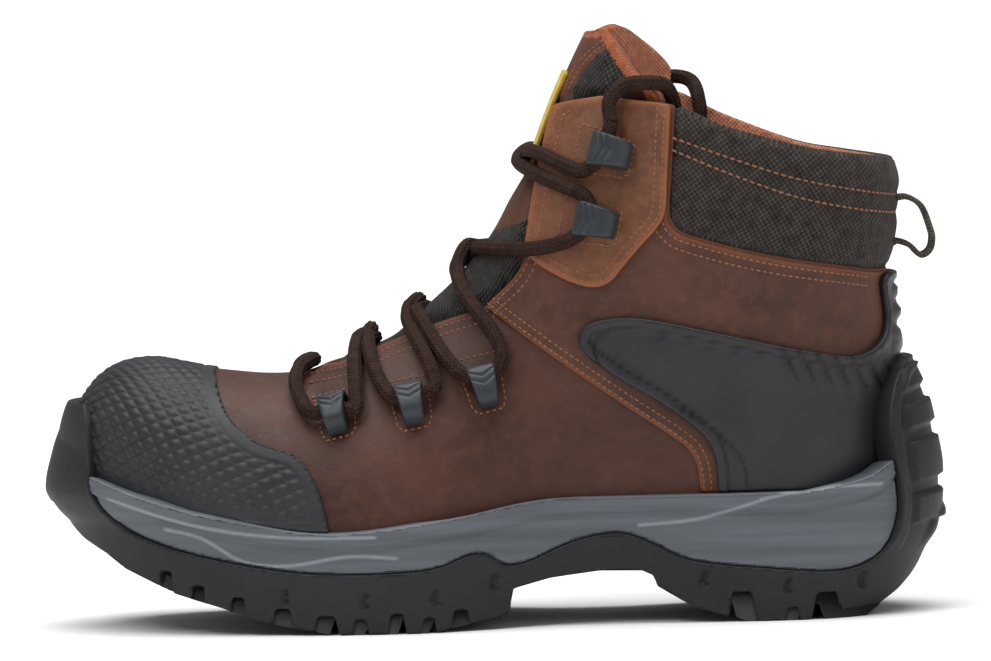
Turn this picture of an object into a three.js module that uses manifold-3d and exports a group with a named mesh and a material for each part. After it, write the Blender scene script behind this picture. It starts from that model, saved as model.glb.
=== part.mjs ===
import * as THREE from "three";
import Module from "manifold-3d";

// A laced ankle boot for the left foot, standing on its sole.
// +X runs to the toe, +Y to the outer side of the foot, +Z up. Millimetres.
// The origin is on the floor, midway along the sole and midway across it.

const wasm = await Module();
wasm.setup();

// The foot and the sole
const SOLE_LENGTH = 312;
const SOLE_BALL_WIDTH = 118;
const RIM_HEIGHT = 44;
const TOE_MARGIN = 9;
const HEEL_MARGIN = 15;
const MIDSOLE_INSET = 1.0;
const LIP_HEIGHT = 6;
const GROOVE_DEPTH = 1.4;
const LUG_DEPTH = 5.5;
const CHANNEL_WIDTH = 4.8;
const NOTCH_SLANT_DEG = 8;
const NOTCH_FLARE = 1.7;
const POCKET_LENGTH = 6.8;
const POCKET_HEIGHT = 3.2;
const WRAP_GROOVE_WIDTH = 1.8;
const WRAP_TOP_MARGIN = 4;
const RECESS_DEPTH = 8;
const INSOLE_THICKNESS = 5;
const BELOW_FLOOR = 2;

// The upper and what lies on it
const RIM_LEDGE = 5;
const SHAFT_WIDTH = 84;
const COLLAR_RISE = 136;
const WALL = 2.2;
const QUARTER_STEP = 1.0;
const OVERLAY = 1.5;
const TOE_CAP_THICKNESS = 2.2;
const COUNTER_THICKNESS = 2.4;
const RIM_BEAD = 0.9;
const TOE_CAP_BORDER = 4;
const COUNTER_BORDER = 3;
const BUMPER_WALL = 2.2;
const POD_HEIGHT = 1.0;
const CUFF_DEPTH = 6;
const CUFF_PUFF = 1.5;
const FACING_TOP_WIDTH = 30;
const TONGUE_THICKNESS = 5;
const TONGUE_PUFF = 1.5;
const TONGUE_SWELL_WIDTH = 7;
const TONGUE_REACH = 40;
const GAP = 0.3;

// Lacing, pull loop and tab
const LACE_DIAMETER = 5.2;
const LACE_CLEARANCE = 0.9;
const LACE_ENTRY = 4;
const BORE_CLEARANCE = 0.6;
const HOOK_LIP_DROP = 1;
const FITTING_LENGTH = 15;
const FITTING_WIDTH = 10;
const FITTING_WALL = 1.4;
const FITTING_SEAT = 0.75;
const WEBBING_THICKNESS = 1.8;
const WEBBING_WIDTH = 14;
const TAB_THICKNESS = 1.4;
const TAB_WIDTH = 14;

// How finely the curved forms are divided
const COLUMNS = 21;
const ROWS = 8;
const SOLE_COLUMNS = 16;
const LACE_SIDES = 8;
const LACE_STEPS_PER_DIAMETER = 0.6;
const RIM_SAMPLES = 25;
const TOE_POWER = 2.1;
const BISECTIONS = 24;

// The sole from above: at is the share of its length from the heel,
// centre and half are shares of the ball width.
const SOLE_PLAN = [
  { at: 0, centre: 0, half: 0.373 },
  { at: 0.15, centre: 0, half: 0.373 },
  { at: 0.404, centre: 0.03, half: 0.326 },
  { at: 0.596, centre: 0.017, half: 0.482 },
  { at: 0.676, centre: -0.003, half: 0.494 },
  { at: 0.789, centre: -0.034, half: 0.464 },
  { at: 0.885, centre: -0.062, half: 0.42 },
  { at: 1, centre: -0.09, half: 0.36 },
];

// The sole's outer side: at is the height as a share of the rim height,
// back and front are how far the outline draws in at its two ends, as shares
// of the sole length, and width is the share of the plan's width.
const SOLE_SIDE = [
  { at: -0.1, back: 0.074, front: 0.058, width: 0.955 },
  { at: 0.4, back: 0.0235, front: 0.04, width: 0.978 },
  { at: 0.82, back: 0.002, front: 0.028, width: 0.995 },
  { at: 0.97, back: 0.0002, front: 0.009, width: 1 },
  { at: 1.11, back: 0, front: 0, width: 1 },
  { at: 1.4, back: 0.0056, front: 0.0085, width: 0.978 },
  { at: 1.68, back: 0.0138, front: 0.0244, width: 0.93 },
  { at: 2.1, back: 0.04, front: 0.062, width: 0.82 },
];

// The rim line where the upper meets the sole, in shares of length and rim height.
const RIM_LINE = [
  { at: 0, height: 1.01 },
  { at: 0.27, height: 1.005 },
  { at: 0.424, height: 1.005 },
  { at: 0.547, height: 0.891 },
  { at: 0.676, height: 0.795 },
  { at: 0.792, height: 0.911 },
  { at: 0.88, height: 1.07 },
  { at: 0.943, height: 1.239 },
  { at: 1, height: 1.385 },
];

// The upper from above, in shares of its own length and ball width.
const FOOT_PLAN = [
  { at: 0, centre: 0, half: 0.338 },
  { at: 0.1, centre: 0, half: 0.338 },
  { at: 0.385, centre: 0.032, half: 0.318 },
  { at: 0.597, centre: 0.0185, half: 0.481 },
  { at: 0.68, centre: -0.005, half: 0.498 },
  { at: 0.8, centre: -0.037, half: 0.46 },
  { at: 0.9, centre: -0.068, half: 0.402 },
  { at: 1, centre: -0.095, half: 0.345 },
];

// The top line of the closed form, from the heel to the toe: rise is its
// height over the rim as a share of the collar's, power is how square the
// cross-section is.
const RIDGE = [
  { at: 0, rise: 9, power: 2 },
  { at: 0.2, rise: 3.4, power: 2 },
  { at: 0.28, rise: 1.85, power: 2.05 },
  { at: 0.33, rise: 1.29, power: 2.1 },
  { at: 0.363, rise: 1.168, power: 2.2 },
  { at: 0.399, rise: 1.013, power: 2.15 },
  { at: 0.435, rise: 0.83, power: 1.95 },
  { at: 0.479, rise: 0.665, power: 1.75 },
  { at: 0.528, rise: 0.565, power: 1.68 },
  { at: 0.595, rise: 0.476, power: 1.75 },
  { at: 0.66, rise: 0.434, power: 1.9 },
  { at: 0.698, rise: 0.395, power: 2 },
  { at: 0.74, rise: 0.372, power: 2.1 },
  { at: 0.778, rise: 0.361, power: 2.2 },
  { at: 0.865, rise: 0.349, power: 2.4 },
  { at: 1, rise: 0.335, power: 2.6 },
];

// The back line of the upper: at is the rise over the rim as a share of the
// collar's, along is the place as a share of the upper's length.
const BACK_LINE = [
  { at: 0, along: 0.012 },
  { at: 0.08, along: 0.003 },
  { at: 0.19, along: 0 },
  { at: 0.3, along: 0.001 },
  { at: 0.41, along: 0.006 },
  { at: 0.5, along: 0.008 },
  { at: 0.59, along: 0.004 },
  { at: 0.69, along: -0.003 },
  { at: 0.78, along: -0.005 },
  { at: 1.24, along: 0 },
];

// How the columns of the form crowd at the heel, the shaft's front and the toe.
const COLUMN_SPACING = [
  { at: 0, share: 0 },
  { at: 0.033, share: 0.004 },
  { at: 0.1, share: 0.03 },
  { at: 0.2, share: 0.15 },
  { at: 0.3, share: 0.29 },
  { at: 0.55, share: 0.5 },
  { at: 0.8, share: 0.85 },
  { at: 0.9, share: 0.955 },
  { at: 0.967, share: 0.9955 },
  { at: 1, share: 1 },
];

// Lines on the side of the upper, in shares of its length and collar rise.
const THROAT_LINE = [
  [0.706, 0.333], [0.66, 0.354], [0.62, 0.388], [0.558, 0.438], [0.519, 0.465], [0.493, 0.482],
  [0.447, 0.585], [0.426, 0.762], [0.403, 0.954], [0.391, 0.988], [0.346, 1.007],
];
const COLLAR_LINE = [
  [0.346, 1.007], [0.263, 0.985], [0.203, 0.929], [0.108, 0.872], [0.048, 0.85], [0.006, 0.838],
  [-0.02, 0.832],
];
const CUFF_LINE = [
  [0.261, 0.99], [0.268, 0.804], [0.271, 0.715], [0.265, 0.676], [0.243, 0.65],
  [0.159, 0.6], [0.063, 0.563], [0.02, 0.548], [-0.02, 0.55],
];
const COUNTER_LINE = [
  [0.22, 0.004], [0.222, 0.087], [0.237, 0.151], [0.284, 0.231], [0.344, 0.311], [0.379, 0.376],
  [0.378, 0.415], [0.36, 0.444], [0.306, 0.449], [0.21, 0.405], [0.114, 0.357], [0.06, 0.336],
  [0.03, 0.36], [0.018, 0.42], [0.02, 0.535], [-0.02, 0.537],
];
const TOE_CAP_LINE = [
  [0.819, 0.4], [0.819, 0.345], [0.812, 0.273], [0.797, 0.208], [0.767, 0.155], [0.72, 0.12], [0.697, 0.049],
  [0.682, -0.066],
];
const QUARTER_LINE = [
  [0.5, 0.6], [0.493, 0.482], [0.403, 0.34], [0.333, 0.234], [0.273, 0.146], [0.25, 0.101], [0.242, 0.038],
  [0.244, -0.05],
];
const FACING_LINE = [
  [0.264, 0.97], [0.27, 0.804], [0.274, 0.715], [0.285, 0.673], [0.303, 0.632], [0.328, 0.573], [0.343, 0.54],
  [0.365, 0.529], [0.395, 0.549], [0.425, 0.588], [0.441, 0.622],
];
const TONGUE_LATERAL = [
  [0.352, 1.175], [0.341, 1.179], [0.324, 1.114], [0.308, 1.062], [0.289, 1.03], [0.283, 0.95], [0.3, 0.7],
  [0.38, 0.42], [0.52, 0.3], [0.69, 0.24],
];
const TONGUE_MEDIAL = [
  [0.352, 1.175], [0.334, 1.189], [0.325, 1.185], [0.307, 1.156], [0.274, 1.101], [0.262, 1.05],
  [0.284, 0.95], [0.3, 0.7], [0.38, 0.42], [0.52, 0.3], [0.69, 0.24],
];
const TAB_LINE = [[0.44, 0.84], [0.46, 0.93], [0.41, 1.12], [0.36, 1.07], [0.38, 0.9]];
const LOOP_PLACES = [[0.672, 0.224], [0.583, 0.248], [0.496, 0.293]];
const HOOK_PLACES = [[0.361, 0.692], [0.342, 0.86]];
const PULL_LOOP_LINE = [
  [-0.0105, 0.727], [-0.02, 0.727], [-0.037, 0.703], [-0.047, 0.646], [-0.0485, 0.618], [-0.045, 0.59],
  [-0.034, 0.579], [-0.022, 0.604], [-0.0065, 0.614],
];

// Lines on the side of the sole, in shares of its length and rim height.
const SOLE_BOTTOM = [
  [0.99, 1.0], [0.972, 0.818], [0.956, 0.72], [0.93, 0.62], [0.908, 0.507], [0.879, 0.414], [0.852, 0.323],
  [0.805, 0.227], [0.759, 0.116], [0.717, 0.052], [0.672, 0], [0.565, 0], [0.539, 0.043], [0.495, 0.091],
  [0.482, 0.152], [0.48, 0.309], [0.438, 0.38], [0.384, 0.425], [0.337, 0.418], [0.324, 0.375],
  [0.321, 0.295], [0.283, 0.132], [0.25, 0.055], [0.217, 0], [0.09, 0], [0.052, 0.166],
  [0.037, 0.266], [0.02, 0.42], [-0.02, 0.9],
];
const MIDSOLE_UNDERSIDE = [
  [0.951, 1.8], [0.947, 1.634], [0.946, 1.318], [0.944, 1.105], [0.92, 0.88], [0.871, 0.714],
  [0.81, 0.6], [0.738, 0.507], [0.666, 0.47], [0.571, 0.491], [0.526, 0.593], [0.504, 0.582],
  [0.487, 0.5], [0.46, 0.518], [0.409, 0.666], [0.359, 0.714], [0.32, 0.611], [0.282, 0.486],
  [0.204, 0.416], [0.115, 0.375], [0.07, 0.502], [0.052, 0.759], [0.051, 0.995], [0.057, 1.311],
  [0.062, 1.55], [0.054, 1.825], [0.037, 2.002],
];
const MIDSOLE_HEEL_RISE = [[0.157, 1.01], [0.09, 1.098], [0.059, 1.218], [0.03, 1.3]];

// Notches across the tread, at the sole's side: at is the middle of the notch as
// a share of the length, wide and high are shares of the rim height.
const TREAD_NOTCHES = [
  { at: 0.862, wide: 0.09, high: 0.5 },
  { at: 0.826, wide: 0.09, high: 0.39 },
  { at: 0.782, wide: 0.09, high: 0.3 },
  { at: 0.733, wide: 0.11, high: 0.21 },
  { at: 0.685, wide: 0.13, high: 0.15 },
  { at: 0.647, wide: 0.08, high: 0.12 },
  { at: 0.607, wide: 0.09, high: 0.16 },
  { at: 0.572, wide: 0.08, high: 0.12 },
  { at: 0.537, wide: 0.1, high: 0.17 },
  { at: 0.228, wide: 0.14, high: 0.23 },
  { at: 0.172, wide: 0.07, high: 0.1 },
  { at: 0.134, wide: 0.15, high: 0.21 },
];
// Channels that run along the tread: from and to are shares of the length, across is
// a share of the ball width off the middle, and taper narrows that towards the toe.
const TREAD_CHANNELS = [
  { from: 0.52, to: 0.86, across: 0.16, taper: 0.7 },
  { from: 0.52, to: 0.86, across: -0.16, taper: 0.7 },
];
// Small pockets in the side of the tread blocks.
const SIDE_POCKETS = [
  [0.729, 0.3], [0.641, 0.26], [0.563, 0.28], [0.497, 0.38], [0.268, 0.34], [0.176, 0.27], [0.093, 0.29],
];

// Grooves across the heel wrap, in shares of the sole's length and rim height.
const WRAP_GROOVES = [
  [[0.062, 1.3], [0.03, 1.26], [-0.02, 1.3]],
  [[0.058, 0.86], [0.028, 0.82], [-0.02, 0.78]],
  [[0.06, 1.62], [0.03, 1.64], [-0.02, 1.6]],
];
// The blocks on the strip up the back of the heel, in shares of the collar rise.
const STRIP_BLOCKS = [
  { low: 0.335, high: 0.395 },
  { low: 0.42, high: 0.46 },
  { low: 0.475, high: 0.51 },
];

const upperBallWidth = SOLE_BALL_WIDTH - 2 * RIM_LEDGE;
const upperBack = HEEL_MARGIN - SOLE_LENGTH / 2;
const upperTip = SOLE_LENGTH / 2 - TOE_MARGIN;
const upperLength = upperTip - upperBack;
const laceRadius = LACE_DIAMETER / 2;
const shaftTopShare = 1.24;
const heelRound = 0.14 * upperLength;
const toeRound = 0.15 * upperLength;
const ridgeRound = 0.125 * upperLength;
const farOut = SOLE_LENGTH;

const clamp = (t) => Math.min(1, Math.max(0, t));

function smooth(t) {
  const s = clamp(t);
  return s * s * (3 - 2 * s);
}

const mix = (a, b, t) => a + (b - a) * t;

// A rounded end: 0 at the tip, 1 once the distance reaches the radius.
function roundEnd(distance, radius, power = 2) {
  const s = 1 - clamp(distance / radius);
  return Math.pow(Math.max(0, 1 - Math.pow(s, power)), 1 / power);
}

// A smooth curve without overshoot through one column of a table.
function curve(table, column) {
  const x = table.map((row) => row.at);
  const y = table.map((row) => row[column]);
  const last = x.length - 1;
  const secant = [];
  for (let i = 0; i < last; i += 1) {
    secant.push((y[i + 1] - y[i]) / (x[i + 1] - x[i]));
  }
  const slope = y.map((_, i) => {
    const before = secant[Math.max(0, i - 1)];
    const after = secant[Math.min(last - 1, i)];
    return before * after <= 0 ? 0 : (2 * before * after) / (before + after);
  });
  return (at) => {
    const t = Math.min(x[last], Math.max(x[0], at));
    let i = 0;
    while (i < last - 1 && t > x[i + 1]) {
      i += 1;
    }
    const width = x[i + 1] - x[i];
    const s = (t - x[i]) / width;
    const s2 = s * s;
    const s3 = s2 * s;
    return (2 * s3 - 3 * s2 + 1) * y[i] + (s3 - 2 * s2 + s) * width * slope[i]
      + (3 * s2 - 2 * s3) * y[i + 1] + (s3 - s2) * width * slope[i + 1];
  };
}

const soleCentre = curve(SOLE_PLAN, "centre");
const soleHalf = curve(SOLE_PLAN, "half");
const sideBack = curve(SOLE_SIDE, "back");
const sideFront = curve(SOLE_SIDE, "front");
const sideWidth = curve(SOLE_SIDE, "width");
const rimShare = curve(RIM_LINE, "height");
const footCentre = curve(FOOT_PLAN, "centre");
const footHalf = curve(FOOT_PLAN, "half");
const ridgeShare = curve(RIDGE, "rise");
const ridgePower = curve(RIDGE, "power");
const backShare = curve(BACK_LINE, "along");
const columnShare = curve(COLUMN_SPACING, "share");

const rimZ = (x) => RIM_HEIGHT * rimShare(x / SOLE_LENGTH + 0.5);
const onUpper = ([u, w]) => [upperBack + u * upperLength, RIM_HEIGHT + w * COLLAR_RISE];
const onSole = ([u, w]) => [(u - 0.5) * SOLE_LENGTH, w * RIM_HEIGHT];

function ridgeRise(x) {
  const share = (x - upperBack) / upperLength;
  return COLLAR_RISE * ridgeShare(share) * roundEnd(upperTip - x, ridgeRound);
}

const backX = (rise) => upperBack + upperLength * backShare(rise / COLLAR_RISE);

// The closed form of the foot and shaft: its middle, half width and squareness.
function formSection(x, rise) {
  const share = (x - upperBack) / upperLength;
  const climb = smooth((rise / COLLAR_RISE - 0.15) / 0.75) * smooth((0.66 - share) / 0.25);
  const foot = upperBallWidth * footHalf(share) * roundEnd(upperTip - x, toeRound, TOE_POWER);
  const heel = roundEnd(x - backX(rise), heelRound);
  return {
    centre: upperBallWidth * footCentre(share) * (1 - climb),
    half: mix(foot, SHAFT_WIDTH / 2, climb) * heel,
    power: ridgePower(share),
    top: Math.max(0.001, ridgeRise(x)),
  };
}

function formPoint(x, rise, side) {
  const { centre, half, power, top } = formSection(x, rise);
  const arch = Math.min(1, Math.max(0, rise) / top);
  const dome = Math.pow(Math.max(0, 1 - Math.pow(arch, power)), 1 / power);
  return new THREE.Vector3(x, centre + side * half * dome, rimZ(x) + rise);
}

// The outward direction of the form at a place near it.
function formNormal(point) {
  const level = (x, y, z) => {
    const rise = z - rimZ(x);
    const { centre, half, power, top } = formSection(x, rise);
    const across = Math.abs(y - centre) / Math.max(0.01, half);
    return Math.pow(across, power) + Math.pow(Math.max(0, rise) / top, power);
  };
  const step = 0.2;
  const { x, y, z } = point;
  return new THREE.Vector3(
    level(x + step, y, z) - level(x - step, y, z),
    level(x, y + step, z) - level(x, y - step, z),
    level(x, y, z + step) - level(x, y, z - step),
  ).normalize();
}

// Closed meshes in and out of the joining and cutting library.
function solid(points, faces) {
  const unique = new Map();
  const positions = [];
  const remap = points.map((p) => {
    const key = [p.x, p.y, p.z].map((value) => Math.round(value * 1e4)).join(",");
    if (!unique.has(key)) {
      unique.set(key, positions.length / 3);
      positions.push(p.x, p.y, p.z);
    }
    return unique.get(key);
  });
  const triangles = [];
  for (const face of faces) {
    const [a, b, c] = face.map((index) => remap[index]);
    if (a !== b && b !== c && c !== a) {
      triangles.push(a, b, c);
    }
  }
  return new wasm.Manifold(new wasm.Mesh({
    numProp: 3,
    vertProperties: new Float32Array(positions),
    triVerts: new Uint32Array(triangles),
  }));
}

function fromGeometry(geometry) {
  const position = geometry.getAttribute("position");
  const points = [];
  for (let i = 0; i < position.count; i += 1) {
    points.push(new THREE.Vector3().fromBufferAttribute(position, i));
  }
  const order = geometry.index ? Array.from(geometry.index.array) : points.map((_, i) => i);
  const faces = [];
  for (let i = 0; i < order.length; i += 3) {
    faces.push([order[i], order[i + 1], order[i + 2]]);
  }
  return solid(points, faces);
}

function toGeometry(manifold) {
  const mesh = manifold.getMesh();
  const geometry = new THREE.BufferGeometry();
  geometry.setAttribute("position", new THREE.BufferAttribute(new Float32Array(mesh.vertProperties), 3));
  geometry.setIndex(new THREE.BufferAttribute(new Uint32Array(mesh.triVerts), 1));
  const flat = geometry.toNonIndexed();
  flat.computeVertexNormals();
  return flat;
}

// The form as a surface: rows of points from below the rim to the top,
// each row running from the heel to the toe on both sides.
function formSurface(rows) {
  const points = [];
  const index = new Map();
  const vertex = (p) => {
    const key = [p.x, p.y, p.z].map((value) => Math.round(value * 1e4)).join(",");
    if (!index.has(key)) {
      index.set(key, points.length);
      points.push(p);
    }
    return index.get(key);
  };
  const topRise = (x) => Math.min(ridgeRise(x), shaftTopShare * COLLAR_RISE);
  const place = (side, row, column) => {
    const { drop, share } = rows[row];
    const back = backX(share * topRise(upperBack));
    const x = mix(back, upperTip, columnShare(column / COLUMNS));
    const point = formPoint(x, share * topRise(x), side);
    point.z -= drop;
    return vertex(point);
  };
  const faces = [];
  for (const side of [1, -1]) {
    for (let row = 0; row < rows.length - 1; row += 1) {
      for (let column = 0; column < COLUMNS; column += 1) {
        const a = place(side, row, column);
        const b = place(side, row, column + 1);
        const c = place(side, row + 1, column + 1);
        const d = place(side, row + 1, column);
        faces.push(side > 0 ? [a, c, b] : [a, b, c]);
        faces.push(side > 0 ? [a, d, c] : [a, c, d]);
      }
    }
  }
  const cap = (row, upward) => {
    const strip = [];
    for (let column = 0; column < COLUMNS; column += 1) {
      const a = place(1, row, column);
      const b = place(1, row, column + 1);
      const c = place(-1, row, column + 1);
      const d = place(-1, row, column);
      strip.push(upward ? [a, c, b] : [a, b, c]);
      strip.push(upward ? [a, d, c] : [a, c, d]);
    }
    return strip;
  };
  const open = faces.filter(([a, b, c]) => a !== b && b !== c && c !== a);
  return { points, faces: open, caps: [...cap(0, false), ...cap(rows.length - 1, true)] };
}

function vertexNormals({ points, faces }) {
  const normals = points.map(() => new THREE.Vector3());
  for (const [a, b, c] of faces) {
    const edge = points[b].clone().sub(points[a]);
    const normal = edge.cross(points[c].clone().sub(points[a]));
    normals[a].add(normal);
    normals[b].add(normal);
    normals[c].add(normal);
  }
  return normals.map((normal) => normal.normalize());
}

function offsetPoints(surface, offset) {
  const normals = vertexNormals(surface);
  return surface.points.map((p, i) => {
    const distance = typeof offset === "function" ? offset(p) : offset;
    return p.clone().addScaledVector(normals[i], distance);
  });
}

// A layer between two distances from the form.
function layer(surface, inner, outer) {
  const count = surface.points.length;
  const points = [...offsetPoints(surface, inner), ...offsetPoints(surface, outer)];
  const faces = [];
  const edges = new Map();
  for (const [a, b, c] of surface.faces) {
    faces.push([a, c, b]);
    faces.push([a + count, b + count, c + count]);
    for (const [from, to] of [[a, b], [b, c], [c, a]]) {
      edges.set(`${from},${to}`, [from, to]);
    }
  }
  for (const [from, to] of edges.values()) {
    if (!edges.has(`${to},${from}`)) {
      faces.push([from, to, to + count]);
      faces.push([from, to + count, from + count]);
    }
  }
  return solid(points, faces);
}

// The whole form as a filled block, for cutting.
function block(surface, offset) {
  return solid(offsetPoints(surface, offset), [...surface.faces, ...surface.caps]);
}

// A side view outline carried straight across the boot.
function prism(outline, from = -farOut, to = farOut) {
  const shape = new THREE.Shape(outline.map(([x, z]) => new THREE.Vector2(x, z)));
  const geometry = new THREE.ExtrudeGeometry(shape, { depth: to - from, bevelEnabled: false });
  geometry.rotateX(Math.PI / 2);
  geometry.translate(0, to, 0);
  return fromGeometry(geometry);
}

// A smooth line through a few places.
function smoothLine(places, pieces = 2) {
  const spline = new THREE.SplineCurve(places.map(([x, z]) => new THREE.Vector2(x, z)));
  return spline.getPoints((places.length - 1) * pieces).map((p) => [p.x, p.y]);
}

// A line moved sideways; a positive distance moves it to its left.
function shiftLine(line, distance) {
  return line.map(([x, z], i) => {
    const [x0, z0] = line[Math.max(0, i - 1)];
    const [x1, z1] = line[Math.min(line.length - 1, i + 1)];
    const length = Math.hypot(x1 - x0, z1 - z0);
    return [x - (distance * (z1 - z0)) / length, z + (distance * (x1 - x0)) / length];
  });
}

// A ribbon of even width along a line.
const ribbon = (line, left, right) => [...shiftLine(line, left), ...shiftLine(line, -right).reverse()];

const join = (pieces) => pieces.reduce((sum, piece) => sum.add(piece));

const heightShares = Array.from({ length: ROWS + 1 }, (_, i) => Math.sin((Math.PI * i) / (2 * ROWS)));
const heightRows = heightShares.map((share) => ({ drop: 0, share }));
const wholeForm = formSurface([{ drop: RECESS_DEPTH, share: 0 }, ...heightRows]);
const recessForm = formSurface([{ drop: RECESS_DEPTH + GAP, share: 0 }, ...heightRows]);

const rimReach = 1.13 * SOLE_LENGTH;
const rimSamples = Array.from({ length: RIM_SAMPLES }, (_, i) => (i / (RIM_SAMPLES - 1) - 0.5) * rimReach);

// Everything higher than the rim line by a distance.
function aboveRim(distance) {
  const line = rimSamples.map((x) => [x, rimZ(x) + distance]);
  return prism([...line, [farOut, farOut], [-farOut, farOut]]);
}

// Half of space on one side of the boot.
function halfSpace(side) {
  const square = [[-farOut, -farOut], [farOut, -farOut], [farOut, farOut], [-farOut, farOut]];
  return side > 0 ? prism(square, 0, farOut) : prism(square, -farOut, 0);
}

// The sole's outer body, drawn in all round by an inset.
function soleBody(inset) {
  const ringSize = 2 * SOLE_COLUMNS;
  const points = [];
  for (const { at } of SOLE_SIDE) {
    const back = (sideBack(at) - 0.5) * SOLE_LENGTH + inset;
    const front = (0.5 - sideFront(at)) * SOLE_LENGTH - inset;
    for (let i = 0; i < ringSize; i += 1) {
      const side = i < SOLE_COLUMNS ? 1 : -1;
      const t = i < SOLE_COLUMNS ? i / SOLE_COLUMNS : 2 - i / SOLE_COLUMNS;
      const share = 0.12 * t + 0.88 * (1 - Math.cos(Math.PI * t)) / 2;
      const half = Math.max(0, SOLE_BALL_WIDTH * soleHalf(share) * sideWidth(at) - inset)
        * roundEnd(share * SOLE_LENGTH, 0.14 * SOLE_LENGTH)
        * roundEnd((1 - share) * SOLE_LENGTH, 0.16 * SOLE_LENGTH);
      const y = SOLE_BALL_WIDTH * soleCentre(share) + side * half;
      points.push(new THREE.Vector3(mix(back, front, share), y, at * RIM_HEIGHT));
    }
  }
  const faces = [];
  for (let level = 0; level < SOLE_SIDE.length - 1; level += 1) {
    for (let i = 0; i < ringSize; i += 1) {
      const a = level * ringSize + i;
      const b = level * ringSize + ((i + 1) % ringSize);
      faces.push([a, b + ringSize, b]);
      faces.push([a, a + ringSize, b + ringSize]);
    }
  }
  const topStart = (SOLE_SIDE.length - 1) * ringSize;
  for (let i = 0; i < SOLE_COLUMNS; i += 1) {
    const a = i;
    const b = i + 1;
    const c = (ringSize - i - 1) % ringSize;
    const d = (ringSize - i) % ringSize;
    faces.push([a, b, c], [a, c, d]);
    faces.push([topStart + a, topStart + c, topStart + b], [topStart + a, topStart + d, topStart + c]);
  }
  return solid(points, faces);
}

const body = soleBody(0);
const bodyInset = soleBody(MIDSOLE_INSET);
const bodyGroove = soleBody(GROOVE_DEPTH);

const toeCapOuter = GAP + TOE_CAP_THICKNESS;
const counterInner = QUARTER_STEP + GAP;
const counterOuter = counterInner + COUNTER_THICKNESS;

// Room for the upper, the toe cap and the heel counter in the sole.
function upperRoom() {
  const midLine = (rimSamples[0] + rimSamples[rimSamples.length - 1]) / 2;
  const front = prism([[midLine, -farOut], [farOut, -farOut], [farOut, farOut], [midLine, farOut]]);
  const above = aboveRim(GAP / 2);
  const toeRoom = block(wholeForm, toeCapOuter + GAP).intersect(above).intersect(front);
  const heelRoom = block(wholeForm, counterOuter + GAP).intersect(above).subtract(front);
  return join([block(recessForm, GAP), toeRoom, heelRoom]);
}

const room = upperRoom();

// The part of the side view that belongs to the outsole, its toe bumper and heel wrap.
function outsoleOutline(gap) {
  const line = shiftLine(MIDSOLE_UNDERSIDE.map(onSole), -gap);
  const wrapTop = line[line.length - 1][1] + WRAP_TOP_MARGIN;
  return [[farOut, -farOut], [farOut, line[0][1]], ...line, [-farOut, wrapTop], [-farOut, -farOut]];
}

function treadNotches() {
  const pieces = [];
  const reach = 0.6 * SOLE_BALL_WIDTH;
  for (const { at, wide, high } of TREAD_NOTCHES) {
    const [x, top] = onSole([at, high]);
    const half = (wide * RIM_HEIGHT) / 2;
    const foot = half * NOTCH_FLARE;
    const outline = [[-foot, -BELOW_FLOOR], [foot, -BELOW_FLOOR], [half, top], [-half, top]];
    const centre = SOLE_BALL_WIDTH * soleCentre(at);
    for (const side of [1, -1]) {
      const ends = side > 0 ? [-BELOW_FLOOR, reach] : [-reach, BELOW_FLOOR];
      const piece = prism(outline, ...ends);
      pieces.push(piece.rotate([0, 0, -side * NOTCH_SLANT_DEG]).translate([x, centre, 0]));
    }
  }
  return join(pieces);
}

// Channels that run along the tread under the forefoot and the heel.
function treadChannels() {
  const pieces = [];
  for (const { from, to, across, taper } of TREAD_CHANNELS) {
    const x0 = (from - 0.5) * SOLE_LENGTH;
    const x1 = (to - 0.5) * SOLE_LENGTH;
    const y0 = SOLE_BALL_WIDTH * (across + soleCentre(from));
    const y1 = SOLE_BALL_WIDTH * (across * taper + soleCentre(to));
    const angle = (Math.atan2(y1 - y0, x1 - x0) * 180) / Math.PI;
    const bottom = smoothLine(SOLE_BOTTOM.map(onSole), 1).filter(([x]) => x > x0 && x < x1);
    const under = [[x1, bottom[0][1]], ...bottom, [x0, bottom[bottom.length - 1][1]]];
    const roof = under.map(([x, z]) => [x - x0, z + 0.7 * LUG_DEPTH]);
    const outline = [...roof, [0, -BELOW_FLOOR], [x1 - x0, -BELOW_FLOOR]];
    const channel = prism(outline, -CHANNEL_WIDTH / 2, CHANNEL_WIDTH / 2);
    pieces.push(channel.rotate([0, 0, angle]).translate([x0, y0, 0]));
  }
  return join(pieces);
}

function sidePockets() {
  const half = POCKET_LENGTH / 2;
  const rise = POCKET_HEIGHT / 2;
  const pieces = SIDE_POCKETS.map((place) => {
    const [x, z] = onSole(place);
    return prism([[x - half, z + rise], [x - 0.3 * half, z - rise], [x + half, z + 0.6 * rise]]);
  });
  return join(pieces).subtract(bodyGroove);
}

// The stepped blocks of the heel wrap, parted by slanted grooves.
function wrapGrooves() {
  const half = WRAP_GROOVE_WIDTH / 2;
  const pieces = WRAP_GROOVES.map((line) => prism(ribbon(line.map(onSole), half, half)));
  return join(pieces).subtract(bodyGroove);
}

function makeOutsole() {
  const side = prism([...SOLE_BOTTOM.map(onSole), [-farOut, farOut], [farOut, farOut]]);
  const bumper = layer(wholeForm, toeCapOuter, toeCapOuter + BUMPER_WALL);
  const wrap = layer(wholeForm, counterOuter, counterOuter + BUMPER_WALL);
  const front = prism([[0, 0], [farOut, 0], [farOut, farOut], [0, farOut]]);
  const outer = join([body, bumper.intersect(front), wrap.subtract(front)]);
  return outer.intersect(prism(outsoleOutline(0))).intersect(side)
    .subtract(room)
    .subtract(treadNotches())
    .subtract(treadChannels())
    .subtract(sidePockets())
    .subtract(wrapGrooves());
}

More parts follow.
